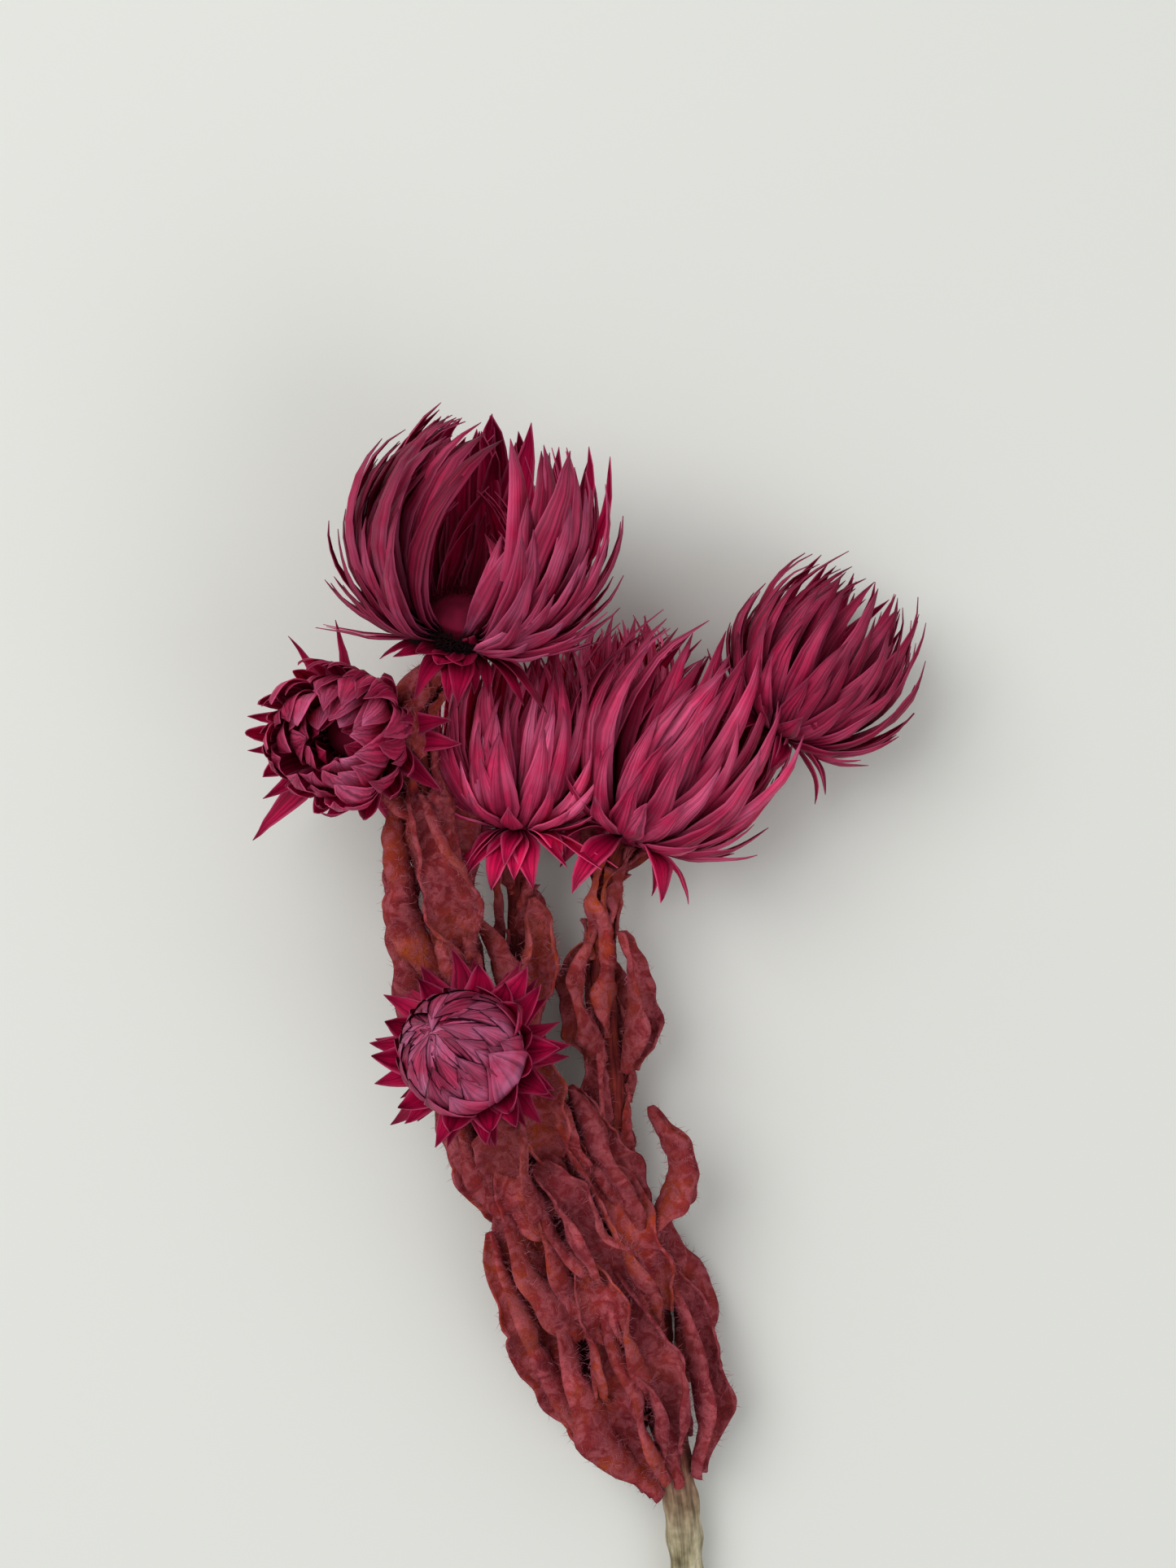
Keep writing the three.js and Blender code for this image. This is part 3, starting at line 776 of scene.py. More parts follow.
def clasping_blades(name, rng):
    """Narrow leaves that lie close along a stem, so that no bark shows."""
    stem = stems[name]
    count, first, last = CLASPING_LEAVES[name]
    blades = []
    for i, at in enumerate(np.linspace(first, last, count)):
        leaf = {
            "at": at,
            "around": i * GOLDEN_ANGLE + rng.uniform(-20, 20),
            "reach": min(rng.uniform(20, 30), (stem.length - at) * 0.96),
            "width": rng.uniform(2.6, 3.4) * stem.radius(at),
            "bow": rng.uniform(0.2, 1.2),
            "tip": rng.uniform(0.0, 0.8),
            "wrap": rng.uniform(-40, 40),
            "roll": rng.uniform(-62, -38),
        }
        blades.append(leaf_blade(stem, leaf, int(rng.integers(1 << 30)), *CLASPING_GRID))
    return blades


TUFT_SEED = 300

leaf_objects = {}
seed = 10
for label, facts in LEAVES.items():
    for i, leaf in enumerate(facts["list"], 1):
        seed += 1
        node = f"{label}_{i}"
        blades = [leaf_blade(stems[facts["stem"]], leaf, seed)]
        piece = blades_object(f"{node}_blade", blades, FELT)
        finish_piece(piece, "felted_leaf", node)
        leaf_objects.setdefault(label, []).append(piece)

tuft = [leaf_blade(stems["main_stem"], leaf, TUFT_SEED + i) for i, leaf in enumerate(TUFT_LEAVES)]
tuft_object = blades_object("tuft_leaves", tuft, FELT)
finish_piece(tuft_object, "felted_leaf")
leaf_objects["tuft_leaf"] = [tuft_object]

clasping_rng = np.random.default_rng(5)
for name in CLASPING_LEAVES:
    piece = blades_object(f"{name}_clasping_leaves", clasping_blades(name, clasping_rng), FELT)
    finish_piece(piece, "felted_leaf")
    leaf_objects.setdefault("clasping_leaf", []).append(piece)

# ---- Bracts -----------------------------------------------------------------------------------------


def bract_object(length, width, start, end, cup=0.35, point=1.4, sway=0.0, cells=2):
    """One bract, in a head's own frame: Z is the head's axis and X its outward side.

    start and end are the angles between its base and tip and the axis, in degrees. cup is how far its
    margins turn in, point how blunt its tip is, sway how far it bends sideways, and cells how many
    faces there are across it.
    """
    along, across = 12, cells + 1
    u = np.linspace(0, 1, along)
    v = np.linspace(-1, 1, across)
    lean = np.radians(start + (end - start) * u)
    step = length / (along - 1)
    sines, cosines = np.sin(lean), np.cos(lean)
    x = np.concatenate([[0], np.cumsum(sines[1:] + sines[:-1]) / 2 * step])
    z = np.concatenate([[0], np.cumsum(cosines[1:] + cosines[:-1]) / 2 * step])
    taper = np.clip((u - 0.42) / 0.58, 0, 1)
    half_width = width / 2 * (0.36 + 0.64 * smoothstep(u, 0, 0.42)) * (1.012 - taper**point)
    outward = np.stack([cosines, np.zeros(along), -sines], axis=-1)
    across_it = np.array([0, 1.0, 0])
    centre = np.stack([x, sway * length * u**2, z], axis=-1)
    surface = centre[:, None] + across_it * (half_width[:, None] * v)[..., None]
    hollow = half_width[:, None] * cup * v**2 + 0.1 * (1 - (2 * np.abs(v) - 1) ** 2)
    surface = surface - outward[:, None] * hollow[..., None]
    tilt = np.arctan(2 * cup * v)[:, None]
    normals = outward[:, None] * np.cos(tilt) + across_it * np.sin(tilt)
    half = np.full((along, across), 0.07)
    return blades_object("bract", [blade(surface, normals, half)], PAPER)


def row_tree():
    """Geometry Nodes: adds one row of bracts, part or all of the way round an axis, to what comes in."""
    tree = bpy.data.node_groups.new("row_of_bracts", "GeometryNodeTree")
    sockets = [
        ("Geometry", "Geometry", None),
        ("Bract", "Object", None),
        ("Count", "Int", 12),
        ("Radius", "Float", 5 * MM),
        ("Height", "Float", 1 * MM),
        ("From", "Float", 0.0),
        ("To", "Float", 1.0),
        ("Place spread", "Float", 0.25),
        ("Turn", "Float", 0.0),
        ("Turn spread", "Float", 0.25),
        ("Lean spread", "Float", 0.12),
        ("Size spread", "Float", 0.12),
        ("Crumple", "Float", 0.5 * MM),
        ("Fade", "Float", 0.5),
        ("Edge", "Float", 0.5),
        ("Painted_light", "Float", 1.0),
        ("Seed", "Int", 0),
    ]
    given = group_inputs(tree, sockets)

    def arithmetic(operation, first, second=0.0):
        return add(tree, "ShaderNodeMath", {0: first, 1: second}, operation=operation).outputs[0]

    def random(low, high, offset):
        inputs = {"Seed": arithmetic("ADD", given["Seed"], offset), 2: low, 3: high}
        return add(tree, "FunctionNodeRandomValue", inputs, data_type="FLOAT").outputs[1]

    def spread(name, offset):
        return arithmetic("MULTIPLY", random(-1.0, 1.0, offset), given[name])

    index = add(tree, "GeometryNodeInputIndex").outputs[0]
    share = arithmetic("DIVIDE", arithmetic("ADD", index, spread("Place spread", 1)), given["Count"])
    reach = arithmetic("SUBTRACT", given["To"], given["From"])
    turns = arithmetic("ADD", given["From"], arithmetic("MULTIPLY", share, reach))
    azimuth = arithmetic("MULTIPLY", turns, 2 * math.pi)
    x = arithmetic("MULTIPLY", arithmetic("COSINE", azimuth), given["Radius"])
    y = arithmetic("MULTIPLY", arithmetic("SINE", azimuth), given["Radius"])
    spot = add(tree, "ShaderNodeCombineXYZ", {0: x, 1: y, 2: given["Height"]})
    points = add(tree, "GeometryNodePoints", {"Count": given["Count"], "Position": spot})
    roll = arithmetic("ADD", given["Turn"], spread("Turn spread", 2))
    turned = add(tree, "ShaderNodeCombineXYZ", {0: roll, 1: spread("Lean spread", 3), 2: azimuth})
    bract = add(tree, "GeometryNodeObjectInfo", {"Object": given["Bract"]}).outputs["Geometry"]
    result = add(
        tree,
        "GeometryNodeInstanceOnPoints",
        {
            "Points": points,
            "Instance": bract,
            "Rotation": add(tree, "FunctionNodeEulerToRotation", {0: turned}),
            "Scale": arithmetic("ADD", spread("Size spread", 4), 1.0),
        },
    )
    for label, value in (
        ("tint", random(0.0, 1.0, 5)),
        ("fade", given["Fade"]),
        ("edge", given["Edge"]),
        ("glow", given["Painted_light"]),
    ):
        result = add(
            tree,
            "GeometryNodeStoreNamedAttribute",
            {"Geometry": result, "Name": label, "Value": value},
            data_type="FLOAT",
            domain="INSTANCE",
        )
    result = add(tree, "GeometryNodeRealizeInstances", {"Geometry": result})
    noise = add(
        tree,
        "ShaderNodeTexNoise",
        {"Vector": add(tree, "GeometryNodeInputPosition"), "Scale": pattern_scale(7), "Detail": 1.0},
    ).outputs["Color"]
    centred = add(tree, "ShaderNodeVectorMath", {0: noise, 1: (0.5, 0.5, 0.5)}, operation="SUBTRACT")
    push = add(tree, "ShaderNodeVectorMath", {0: centred, "Scale": given["Crumple"]}, operation="SCALE")
    bent = add(tree, "GeometryNodeSetPosition", {"Geometry": result, "Offset": push})
    together = add(tree, "GeometryNodeJoinGeometry")
    tree.links.new(bent.outputs[0], together.inputs[0])
    tree.links.new(given["Geometry"], together.inputs[0])
    painted = add(tree, "GeometryNodeSetMaterial", {"Geometry": together, "Material": PAPER})
    add(tree, "NodeGroupOutput", {"Geometry": painted})
    return tree


def group_inputs(tree, sockets):
    """Gives a tree its named inputs and one geometry output, and returns the inputs."""
    for name, kind, value in sockets:
        socket = tree.interface.new_socket(name, in_out="INPUT", socket_type=f"NodeSocket{kind}")
        if value is not None:
            socket.default_value = value
    tree.interface.new_socket("Geometry", in_out="OUTPUT", socket_type="NodeSocketGeometry")
    return add(tree, "NodeGroupInput").outputs


def set_inputs(modifier, **values):
    """Sets a Geometry Nodes modifier's inputs by their names, with spaces written as underscores."""
    for item in modifier.node_group.interface.items_tree:
        key = item.name.replace(" ", "_")
        if item.item_type == "SOCKET" and item.in_out == "INPUT" and key in values:
            modifier[item.identifier] = values[key]


ROW_OF_BRACTS = row_tree()
FIRST_BRACT = 0.5  # how many degrees past the start of its arc a row begins


def whorl_object(name, rows, matrix, seed):
    """A whorl: rows of bracts round a head's axis, from the outside in."""
    holder = bpy.data.objects.new(f"{name}_rows", bpy.data.meshes.new(name))
    bpy.context.scene.collection.objects.link(holder)
    patterns = []
    for i, facts in enumerate(rows):
        pattern = bract_object(**facts["shape"])
        patterns.append(pattern)
        modifier = holder.modifiers.new("row", "NODES")
        modifier.node_group = ROW_OF_BRACTS
        phase = (seed * 0.618 + i * 0.382) % 1 * 360
        begin, finish = facts["arc"] or (phase, phase + 360)
        set_inputs(
            modifier,
            Bract=pattern,
            From=begin / 360 + FIRST_BRACT / 360,
            To=finish / 360 + FIRST_BRACT / 360,
            Seed=seed * 17 + i * 7,
            **facts["row"],
        )
    whorl = plain_copy(holder, name, matrix)
    for pattern in patterns:
        bpy.data.objects.remove(pattern)
    return whorl


def row(count, radius, height, length, width, start, end, arc=None, fade=0.5, edge=0.6, **more):
    """One row of bracts: how many, where their bases are, their size, and their angles to the axis.

    arc is the part of the way round that they fill, in degrees. fade is how much painted mauve sheen
    lies on their outer sides, edge how much painted highlight lies on their margins, or below zero how
    dark their rims are, and glow is the painted light that lightens or darkens them.
    """
    shape = {"length": length, "width": width, "start": start, "end": end}
    shape.update({key: more[key] for key in ("cup", "point", "sway", "cells") if key in more})
    return {
        "shape": shape,
        "arc": arc,
        "row": {
            "Count": count,
            "Radius": radius * MM,
            "Height": height * MM,
            "Place_spread": more.get("place_spread", 0.25),
            "Turn": math.radians(more.get("turn", 0)),
            "Turn_spread": more.get("turn_spread", 0.2),
            "Lean_spread": more.get("lean_spread", 0.09),
            "Size_spread": more.get("size_spread", 0.1),
            "Crumple": more.get("crumple", 1.2) * MM,
            "Fade": float(fade),
            "Edge": float(edge),
            "Painted_light": float(more.get("glow", 1)),
        },
    }


SNUG = {
    "lean_spread": 0.012,
    "turn_spread": 0.08,
    "size_spread": 0.015,
    "place_spread": 0.1,
    "crumple": 0.3,
}


def scale_row(count, dome_radius, base, tip, width, **more):
    """One row of tight scales on a dome. base and tip are angles at its middle, from its axis."""
    return row(
        count,
        dome_radius * math.sin(math.radians(base)),
        BUD_MIDDLE + dome_radius * math.cos(math.radians(base)),
        dome_radius * math.radians(base - tip),
        width,
        base - 90,
        tip - 90,
        cup=width / dome_radius / 4,
        cells=4,
        **{**SNUG, **more},
    )


def open_head_rows():
    """The rows of the big head: a ball of bracts that stands open at its front, above its florets."""
    left = (78, 240)
    right = (296, 462)
    outer = [
        row(12, 3.4, 0.6, 6, 3.4, 70, 30, fade=0.1, size_spread=0.2),
        row(8, 4.6, 1.0, 15, 3.6, 98, 134, arc=(250, 350), fade=0, edge=0.2, size_spread=0.3),
        row(9, 4.6, 1.0, 12, 3.8, 95, 130, arc=(0, 225), fade=0.1, size_spread=0.3),
        row(3, 5.0, 1.2, 20, 1.5, 100, 84, arc=(168, 200), fade=0.3, edge=1),
        row(4, 5.0, 1.4, 20, 7.0, 94, 36, arc=(300, 356), fade=1.1, cells=4, glow=1.35),
        row(4, 5.0, 1.0, 13, 5.0, 104, 84, arc=(232, 290), fade=0.2, edge=0.2),
        row(14, 5.6, 1.6, 20, 3.8, 96, 38, arc=left, fade=0.4, glow=0.8),
        row(12, 5.6, 1.6, 19, 4.2, 98, 52, arc=right, fade=0.8, glow=1.2),
        row(18, 6.0, 2.1, 27, 3.4, 92, 0, arc=left, fade=0.45, glow=0.8),
        row(15, 6.0, 2.1, 23, 4.2, 92, 26, arc=right, fade=0.8, glow=1.2),
        row(19, 6.4, 2.7, 33, 3.4, 88, -25, arc=left, fade=0.5, sway=-0.04, point=1.8, glow=0.85),
        row(16, 6.4, 2.7, 26, 4.4, 88, 6, arc=right, fade=0.75, glow=1.2),
    ]
    middle = [
        row(19, 6.8, 3.3, 39, 3.6, 82, -45, arc=left, fade=0.5, sway=0.05, point=2.2, glow=0.85),
        row(16, 6.8, 3.3, 31, 4.4, 80, -12, arc=right, fade=0.7, point=2.0, glow=1.2),
        row(18, 7.0, 3.9, 42, 3.9, 74, -58, arc=left, fade=0.45, sway=0.05, point=2.6, glow=0.9),
        row(15, 7.0, 3.9, 34, 4.4, 70, -26, arc=right, fade=0.6, point=2.4, glow=1.2),
    ]
    inner = [
        row(17, 7.2, 4.5, 41, 4.4, 64, -62, arc=left, fade=0.35, edge=0.9, sway=0.04, point=2.6),
        row(14, 7.2, 4.5, 36, 4.6, 58, -30, arc=right, fade=0.4, point=2.6, glow=1.2),
        row(14, 7.3, 5.0, 38, 4.6, 52, -50, arc=left, fade=0.3, point=2.6, glow=1.3),
        row(12, 7.3, 5.0, 35, 4.6, 46, -30, arc=right, fade=0.3, point=2.6, glow=1.3),
        row(10, 7.0, 6.0, 21, 3.8, 26, -56, arc=(-30, 60), fade=0.2, glow=1.7, size_spread=0.25),
        row(8, 6.8, 5.8, 21, 3.4, 30, -40, arc=(70, 200), fade=0.2, glow=1.4, size_spread=0.2),
        row(6, 6.6, 5.6, 17, 3.6, 34, -70, arc=(-60, 0), fade=0.2, glow=1.9, size_spread=0.25),
        row(2, 7.8, 4.2, 21, 4.6, 40, -8, arc=(274, 292), fade=1, turn=-12, glow=1.3),
    ]
    return scaled({"outer": outer, "middle": middle, "inner": inner}, 0.93)


def scaled(whorls, size):
    """The same rows at another size."""
    for facts in [facts for rows in whorls.values() for facts in rows]:
        for key in ("Radius", "Height"):
            facts["row"][key] *= size
        for key in ("length", "width"):
            facts["shape"][key] *= size
    return whorls


def upright_head_rows(size, fade=0.5, glow=1.0, extra=()):
    """The rows of a head whose bracts stand close, above a few that hang. size is its scale."""
    outer = [
        row(9, 2.4, 0.5, 5, 3.2, 70, 30, fade=0.1, size_spread=0.2),
        row(8, 3.2, 0.9, 12, 4.2, 95, 150, fade=0, lean_spread=0.3, size_spread=0.25),
        row(13, 3.7, 1.1, 15, 3.8, 92, 46, fade=fade),
        row(16, 4.0, 1.5, 18, 3.6, 88, 16, fade=fade),
        row(19, 4.3, 2.0, 22, 3.6, 84, -8, fade=fade),
        row(20, 4.6, 2.5, 25, 3.6, 78, -20, fade=fade),
        *extra,
    ]
    inner = [
        row(19, 4.8, 2.9, 28, 3.6, 70, -28, fade=fade),
        row(17, 5.0, 3.3, 30, 3.6, 60, -34, fade=fade),
        row(15, 4.9, 3.8, 31, 3.6, 49, -36, fade=fade * 0.8),
        row(12, 4.5, 4.3, 30, 3.4, 37, -34, fade=fade * 0.6),
        row(9, 4.0, 4.8, 26, 3.2, 24, -22, fade=fade * 0.5),
    ]
    # Painted light: the same for every row of the head.
    for facts in outer + inner:
        facts["row"]["Painted_light"] = float(glow)
    return scaled({"outer": outer, "inner": inner}, size)


def closed_bud_rows():
    """The rows of a shut bud: a collar of pointed crimson bracts round a dome of tight scales."""
    outer = [
        row(9, 2.2, 0.5, 5, 3.2, 75, 40, fade=0, size_spread=0.2),
        row(14, 3.2, 0.8, 12.5, 4.4, 98, 84, point=1.0, fade=0, edge=0.3, lean_spread=0.2),
        row(13, 3.6, 1.2, 13, 4.8, 94, 64, point=1.0, fade=0, edge=0.3, lean_spread=0.15),
        row(13, 4.0, 1.6, 13.5, 5.4, 92, 42, point=1.1, fade=0.1, edge=0.4),
        row(11, 4.3, 2.0, 13, 6.2, 90, 12, point=1.2, fade=0.3, edge=0.7, cells=4),
        row(1, 4.4, 2.2, 15, 8, 84, 0, arc=(30, 50), fade=0, cup=0.9, cells=4),
    ]
    tight = {"fade": 1.15, "edge": -1, "glow": 1.1}
    inner = [
        scale_row(10, 10.4, 150, 68, 8.6, fade=0.8, edge=0.8, point=1.3, lean_spread=0.05, glow=1.1),
        scale_row(1, 10.8, 150, 60, 9.5, arc=(335, 345), fade=1.1, edge=0.4, point=1.8, glow=1.15),
        scale_row(10, 9.95, 150, 58, 9.4, point=1.05, **tight),
        scale_row(9, 9.8, 145, 48, 9.2, point=1.05, **tight),
        scale_row(9, 9.65, 140, 38, 8.6, point=1.05, **tight),
        scale_row(8, 9.5, 130, 28, 8.2, point=1.05, **tight),
        scale_row(7, 9.35, 120, 18, 7.6, point=1.05, **tight),
        scale_row(6, 9.2, 110, 8, 7.0, point=1.1, **tight),
        scale_row(5, 9.05, 95, -4, 6.6, point=1.3, **tight),
        scale_row(4, 8.9, 80, -16, 6.4, point=1.6, **tight),
    ]
    return {"outer": outer, "inner": inner}


def opening_bud_rows():
    """The rows of a bud that is just opening: loose bracts that curl in round a dark middle."""
    outer = [
        row(9, 2.4, 0.5, 5, 3.0, 75, 40, fade=0, size_spread=0.2),
        row(1, 3.4, 0.9, 22, 4.2, 95, 100, arc=(222, 230), point=1.1, fade=0.8, glow=1.2),
        row(2, 3.4, 0.9, 15, 1.8, 95, 66, arc=(95, 160), point=1.1, fade=0.3, size_spread=0.3),
        row(1, 3.4, 0.9, 21, 4.8, 95, 88, arc=(296, 304), point=1.2, fade=1, glow=1.3),
        row(1, 3.4, 0.9, 18, 4.2, 95, 94, arc=(312, 320), point=1.2, fade=0.1, glow=1.2),
        row(3, 3.6, 1.1, 15.5, 4.6, 94, 62, arc=(330, 390), point=1.2, fade=0.2, glow=1.1),
        row(3, 3.6, 1.1, 15, 3.4, 92, 26, arc=(165, 235), point=1.2, fade=0.3, glow=1.1),
        row(12, 4.0, 1.5, 15.5, 4.2, 88, -14, fade=0.3, edge=0.9, glow=1.2),
        row(14, 4.2, 1.9, 17, 4.2, 84, -30, fade=0.4, edge=0.9, glow=1.2),
        row(12, 4.4, 2.2, 18.5, 3.2, 80, -26, arc=(15, 195), fade=0.2, edge=1, glow=1.2),
    ]
    inner = [
        row(13, 4.5, 2.4, 18.5, 5.2, 80, -44, fade=0.5, point=1.9, crumple=2, edge=1, glow=1.3),
        row(11, 4.7, 2.8, 18, 6.0, 72, -60, fade=0.8, point=2.2, crumple=2.6, edge=1, glow=1.4),
        row(9, 4.7, 3.2, 16, 6.4, 62, -66, fade=1.1, point=2.4, crumple=2.8, edge=1, glow=1.5),
        row(7, 4.4, 3.6, 12, 5.6, 48, -60, fade=1, point=2.4, crumple=2.6, edge=1, glow=1.4),
        row(6, 3.8, 4.0, 9, 4.4, 32, -56, fade=0.1, point=2.2, crumple=2, glow=1.2),
    ]
    return {"outer": outer, "inner": inner}


# Each head: the stem that ends in it, the way that it points, its front, its disc as radius, height and
# dome, and its rows of bracts by whorl. shift, in millimetres, and lean, an azimuth and an angle, set a
# head a little askew on its stalk. whorl_lean does that for one whorl, about the middle of the bud.
TOWARDS_VIEW = (0, 0, 1)
TOWARDS_CUT_END = (0, -1, 0)
BUD_MIDDLE = 8.6
BROAD_AND_HANGING = (
    row(5, 4.7, 1.9, 22, 7.6, 82, -14, arc=(185, 272), fade=1, cells=4),
    row(5, 3.0, 0.8, 13, 4.8, 112, 156, arc=(220, 300), fade=0, cells=4),
    row(3, 3.4, 0.9, 17, 3.8, 100, 116, arc=(296, 345), fade=0, point=1.0),
)
# An upright head's rows take its size, then the share of painted mauve sheen on its outer sides, then
# its painted light, highest on the heads that lie in the crown's shade.
HEADS = {
    "crown_head": {
        "stem": "main_stem",
        "axis": (-0.1, 0.97, 0.2),
        "front": TOWARDS_VIEW,
        "disc": (7, 4.5, 5),
        "rows": open_head_rows(),
        "shift": (-3.8, 0, 0),
        "lean": (0, 16),
    },
    "low_bud": {
        "stem": "low_bud_stalk",
        "axis": (-0.28, 0.2, 0.94),
        "front": TOWARDS_CUT_END,
        "disc": (3.6, 2.6, 2.4),
        "rows": closed_bud_rows(),
        "whorl_lean": {"inner": (124, 20)},
    },
    "left_bud": {
        "stem": "left_bud_stalk",
        "axis": (-0.22, -0.16, 0.96),
        "front": TOWARDS_CUT_END,
        "disc": (4, 3, 2.5),
        "rows": opening_bud_rows(),
    },
    "middle_head": {
        "stem": "middle_stalk",
        "axis": (0.08, 0.98, 0.05),
        "front": TOWARDS_VIEW,
        "disc": (4.4, 3.4, 3.4),
        "rows": upright_head_rows(0.97, 0.65, 1.75, BROAD_AND_HANGING),
    },
    "right_head": {
        "stem": "right_branch",
        "axis": (0.46, 0.88, 0.08),
        "front": TOWARDS_VIEW,
        "disc": (5.4, 4, 4),
        "rows": upright_head_rows(1.15, 0.5, 1.45),
    },
    "far_head": {
        "stem": "far_stalk",
        "axis": (0.56, 0.83, 0.08),
        "front": TOWARDS_VIEW,
        "disc": (5, 3.8, 3.6),
        "rows": upright_head_rows(0.96, 0.35, 1.02),
    },
    "back_head": {
        "stem": "back_stalk",
        "axis": (0.05, 0.98, 0.03),
        "front": TOWARDS_VIEW,
        "disc": (2.8, 2.4, 2.4),
        "rows": upright_head_rows(0.66, 0.9, 2.3),
    },
}


def leaning(azimuth, angle, height=0.0):
    """A turn that leans an axis towards an azimuth, about a point at this height on it."""
    turn = math.radians(azimuth)
    about = Vector((-math.sin(turn), math.cos(turn), 0))
    middle = Matrix.Translation((0, 0, height * MM))
    return middle @ Matrix.Rotation(math.radians(angle), 4, about) @ middle.inverted()


def head_matrix(head):
    """A head's own frame: Z along its axis and -Y towards its front, a little way down its stem."""
    end = stems[head["stem"]].line[-1]
    z = unit(np.array(head["axis"], float))
    x = unit(np.cross(z, np.array(head["front"], float)))
    y = np.cross(z, x)
    place = (end - z * SEAT_DEPTH) * MM
    columns = [(*x, 0), (*y, 0), (*z, 0), (*place, 1)]
    shift = Matrix.Translation(Vector(head.get("shift", (0, 0, 0))) * MM)
    return Matrix(columns).transposed() @ shift @ leaning(*head.get("lean", (0, 0)))


def lathe_object(name, outline, material, matrix, sides=40):
    """A closed shape turned about Z. outline is (radius, height) pairs from the bottom to the top."""
    outline = np.array(outline)
    turn = np.linspace(0, 2 * math.pi, sides, endpoint=False)
    wall = np.stack(
        [
            outline[:, :1] * np.cos(turn),
            outline[:, :1] * np.sin(turn),
            np.broadcast_to(outline[:, 1:], (len(outline), sides)),
        ],
        axis=-1,
    )
    points = np.vstack([wall[0][:1], wall[1:-1].reshape(-1, 3), wall[-1][:1]])
    rings = len(outline) - 2
    index = 1 + np.arange(rings * sides).reshape(rings, sides)
    ahead = np.roll(index, -1, axis=1)
    faces = np.stack([index[:-1], ahead[:-1], ahead[1:], index[1:]], axis=-1).reshape(-1, 4).tolist()
    top = len(points) - 1
    for i in range(sides):
        j = (i + 1) % sides
        faces.append([0, int(index[0, j]), int(index[0, i])])
        faces.append([top, int(index[-1, i]), int(index[-1, j])])
    obj = mesh_object(name, points, faces, np.zeros((len(points), 2)), {}, material)
    obj.data.transform(matrix)
    return obj


CONE_STEPS = 12


def receptacle_outline(radius, height, dome):
    """A cone that widens from the stalk, under a low dome."""
    share = np.linspace(0, 1, CONE_STEPS)
    arch = np.linspace(0, math.pi / 2, 16)[1:]
    cone = np.stack([radius * (0.35 + 0.63 * share), height * share], axis=-1)
    cap = np.stack([radius * 0.98 * np.cos(arch), height + dome * 0.96 * np.sin(arch)], axis=-1)
    return np.vstack([[(0, 0)], cone, cap])


# ---- Hairs ------------------------------------------------------------------------------------------


def hair_object(bend, thickness):
    """One hair, 1 mm long: a three-sided spike with a bend in it."""
    turn = np.linspace(0, 2 * math.pi, 3, endpoint=False)
    circle = np.stack([np.cos(turn), np.sin(turn), np.zeros(3)], axis=-1)
    rings = [circle * thickness, circle * thickness * 0.75 + (bend * 0.3, 0, 0.5)]
    points = np.vstack([*rings, [(bend, 0, 1)]])
    faces = [[2, 1, 0]]
    for i in range(3):
        j = (i + 1) % 3
        faces.append([i, j, j + 3, i + 3])
        faces.append([i + 3, j + 3, 6])
    return mesh_object("hair", points, faces, np.zeros((7, 2)), {}, LEAF_WOOL)


def hair_tree():
    """Geometry Nodes: hairs scattered over a surface. Only the hairs come out."""
    tree = bpy.data.node_groups.new("hairs_on_surface", "GeometryNodeTree")
    sockets = [
        ("Geometry", "Geometry", None),
        ("Hair", "Object", None),
        ("Per square metre", "Float", 1e6),
        ("Length", "Float", 1.0),
        ("Length spread", "Float", 0.5),
        ("Tilt", "Float", 1.0),
        ("Material", "Material", None),
        ("Seed", "Int", 0),
    ]
    given = group_inputs(tree, sockets)
    scattered = add(
        tree,
        "GeometryNodeDistributePointsOnFaces",
        {"Mesh": given["Geometry"], "Density": given["Per square metre"], "Seed": given["Seed"]},
        distribute_method="RANDOM",
    )
    lean = add(tree, "ShaderNodeMath", {0: given["Tilt"], 1: -1.0}, operation="MULTIPLY")
    low = add(tree, "ShaderNodeCombineXYZ", {0: lean, 1: lean, 2: -math.pi})
    high = add(tree, "ShaderNodeCombineXYZ", {0: given["Tilt"], 1: given["Tilt"], 2: math.pi})
    tilt = add(
        tree,
        "FunctionNodeRandomValue",
        {0: low, 1: high, "Seed": given["Seed"]},
        data_type="FLOAT_VECTOR",
    ).outputs[0]
    turned = add(
        tree,
        "FunctionNodeRotateRotation",
        {0: scattered.outputs["Rotation"], 1: add(tree, "FunctionNodeEulerToRotation", {0: tilt})},
        rotation_space="LOCAL",
    )
    least, most = (
        add(tree, "ShaderNodeMath", {0: given["Length"], 1: given["Length spread"]}, operation=how)
        for how in ("SUBTRACT", "ADD")
    )
    size = add(
        tree,
        "FunctionNodeRandomValue",
        {2: least, 3: most, "Seed": given["Seed"]},
        data_type="FLOAT",
    ).outputs[1]
    hair = add(tree, "GeometryNodeObjectInfo", {"Object": given["Hair"]}).outputs["Geometry"]
    placed = add(
        tree,
        "GeometryNodeInstanceOnPoints",
        {"Points": scattered.outputs["Points"], "Instance": hair, "Rotation": turned, "Scale": size},
    )
    real = add(tree, "GeometryNodeRealizeInstances", {"Geometry": placed})
    painted = add(tree, "GeometryNodeSetMaterial", {"Geometry": real, "Material": given["Material"]})
    add(tree, "NodeGroupOutput", {"Geometry": painted})
    return tree


HAIRS_ON_SURFACE = hair_tree()
HAIR = hair_object(0.35, 0.026)
STIFF_HAIR = hair_object(0.12, 0.05)


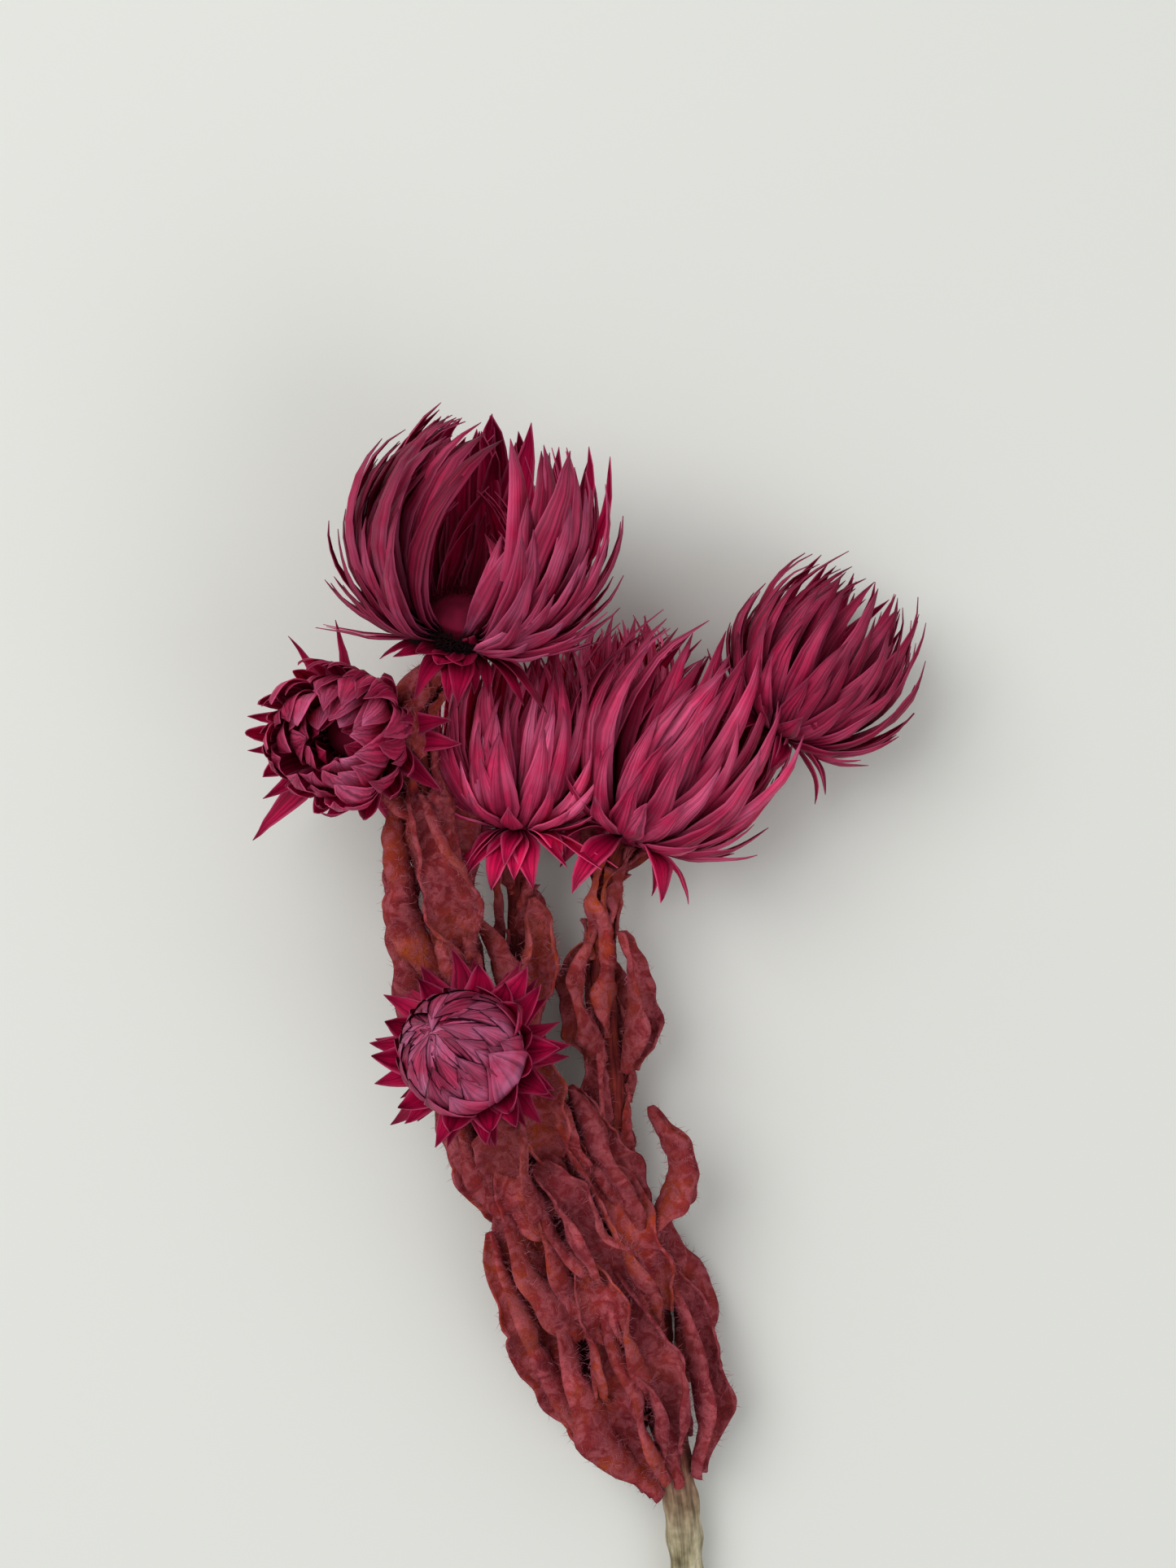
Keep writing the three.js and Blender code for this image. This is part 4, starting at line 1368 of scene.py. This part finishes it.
def surface_of(objects, name):
    """One mesh object that holds copies of several objects' meshes, in their places."""
    points, faces = [], []
    for obj in objects:
        mesh = obj.data
        co = np.empty(len(mesh.vertices) * 3)
        mesh.vertices.foreach_get("co", co)
        start = sum(len(p) for p in points)
        points.append(co.reshape(-1, 3))
        faces += [[v + start for v in polygon.vertices] for polygon in mesh.polygons]
    mesh = bpy.data.meshes.new(name)
    mesh.from_pydata(np.vstack(points).tolist(), [], faces)
    obj = bpy.data.objects.new(name, mesh)
    bpy.context.scene.collection.objects.link(obj)
    return obj


def hairs(name, surface, slot, material, per_mm2, length, spread, tilt, seed, hair=HAIR):
    """Hairs scattered over a surface object, which they use up, as a piece of their own."""
    modifier = surface.modifiers.new("hairs", "NODES")
    modifier.node_group = HAIRS_ON_SURFACE
    set_inputs(
        modifier,
        Hair=hair,
        Per_square_metre=per_mm2 * 1e6,
        Length=length,
        Length_spread=spread,
        Tilt=tilt,
        Material=material,
        Seed=seed,
    )
    finish_piece(plain_copy(surface, name), slot)


# ---- Putting the heads and the wool on --------------------------------------------------------------


FRONT = 270  # the azimuth of a head's front
DISC_NOD = 34  # how far the big head's florets face its front


def velvet_and_pappus(head, matrix):
    """The open head's florets: a velvety dome, with black fuzz round the near part of its rim."""
    radius, height, dome = head["disc"]
    matrix = matrix @ leaning(FRONT, DISC_NOD, height)
    outline = receptacle_outline(radius, height, dome)
    bed = lathe_object("floret_bed", outline[CONE_STEPS:], FLORET_VELVET, matrix, 48)
    hairs("crown_head_velvet", bed, "florets", FLORET_VELVET, 10, 0.75, 0.25, 0.5, 31, hair=STIFF_HAIR)
    share = np.linspace(0, 1, 24)
    turn = np.radians(172 + 112 * share)
    rings = [(radius * 1.02, height - 1), (radius * 1.04, height), (radius * 0.9, height + 2.2)]
    points = np.vstack([[(r * math.cos(t), r * math.sin(t), h) for t in turn] for r, h in rings])
    faces = []
    for k in range(len(rings) - 1):
        for i in range(len(turn) - 1):
            a = k * len(turn) + i
            faces.append([a, a + 1, a + 1 + len(turn), a + len(turn)])
    rim = mesh_object("pappus_bed", points, faces, np.zeros((len(points), 2)), {}, DARK_PAPPUS)
    rim.data.transform(matrix)
    hairs("crown_head_pappus", rim, "florets", DARK_PAPPUS, 36, 2.3, 0.9, 1.0, 32, hair=STIFF_HAIR)


for number, (name, head) in enumerate(HEADS.items(), 1):
    matrix = head_matrix(head)
    outline = receptacle_outline(*head["disc"])
    disc = lathe_object(f"{name}_receptacle", outline, FLORET_VELVET, matrix)
    finish_piece(disc, "florets", f"{name}_disc")
    for rank, (label, rows) in enumerate(head["rows"].items()):
        lean = head.get("whorl_lean", {}).get(label, (0, 0))
        place = matrix @ leaning(*lean, BUD_MIDDLE)
        whorl = whorl_object(f"{name}_{label}_whorl", rows, place, number * 5 + rank)
        node = f"{name}_{label}_bracts"
        finish_piece(whorl, "papery_bract", *([node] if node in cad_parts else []))

velvet_and_pappus(HEADS["crown_head"], head_matrix(HEADS["crown_head"]))

WOOL = 1.2  # how long the wool on the leaves is
LONG_WOOL = 1.6  # the same on the leaves under the heads
WOOL_PER_MM2 = 0.88

for number, (label, pieces) in enumerate(leaf_objects.items(), 1):
    wool_bed = surface_of(pieces, f"{label}_wool_bed")
    length = LONG_WOOL if label in ("upper_leaf", "stalk_leaf") else WOOL
    hairs(f"{label}_wool", wool_bed, "felted_leaf", LEAF_WOOL, WOOL_PER_MM2, length, 0.5, 1.2, number)

bpy.data.objects.remove(HAIR)
bpy.data.objects.remove(STIFF_HAIR)

# ---- Studio -----------------------------------------------------------------------------------------

FOCUS_HEIGHT = 35  # height of the nearer flower heads above the stem's own zero
CAMERA_ABOVE_FOCUS = 400
VIEW_HALF_HEIGHT = 125  # what the camera sees at the focus, from its middle to its top
SENSOR = 36


def studio():
    plane = bpy.data.meshes.new("floor")
    reach = 12.0
    corners = [(-reach, -reach, 0), (reach, -reach, 0), (reach, reach, 0), (-reach, reach, 0)]
    plane.from_pydata(corners, [], [(0, 1, 2, 3)])
    plane.materials.append(pale_floor())
    floor = bpy.data.objects.new("floor", plane)
    bpy.context.scene.collection.objects.link(floor)

    camera_data = bpy.data.cameras.new("camera")
    camera_data.sensor_width = SENSOR
    camera_data.lens = SENSOR / 2 * CAMERA_ABOVE_FOCUS / VIEW_HALF_HEIGHT
    camera_data.clip_start = 0.01
    camera = bpy.data.objects.new("camera", camera_data)
    camera.location = Vector(ORIGIN * MM) + Vector((0, 0, (FOCUS_HEIGHT + CAMERA_ABOVE_FOCUS) * MM))
    bpy.context.scene.collection.objects.link(camera)
    bpy.context.scene.camera = camera

    def area_light(name, place, aim, size, power, colour):
        data = bpy.data.lights.new(name, "AREA")
        data.shape = "DISK"
        data.size = size
        data.energy = power
        data.color = colour
        light = bpy.data.objects.new(name, data)
        light.location = place
        direction = Vector(aim) - Vector(place)
        light.rotation_euler = direction.to_track_quat("-Z", "Y").to_euler()
        bpy.context.scene.collection.objects.link(light)

    area_light("key", (-0.6, 0.4, 1.0), (0, 0, 0.02), 1.0, 9.2, (1.0, 0.985, 0.96))
    area_light("fill", (0.7, -0.6, 0.9), (0, 0, 0.02), 1.0, 3.6, (0.96, 0.98, 1.0))

    world = bpy.data.worlds.new("studio")
    world.use_nodes = True
    background = world.node_tree.nodes["Background"]
    background.inputs["Color"].default_value = srgb("#F4F5F2")
    background.inputs["Strength"].default_value = 0.66
    bpy.context.scene.world = world
    bpy.context.scene.view_settings.view_transform = "Standard"


studio()
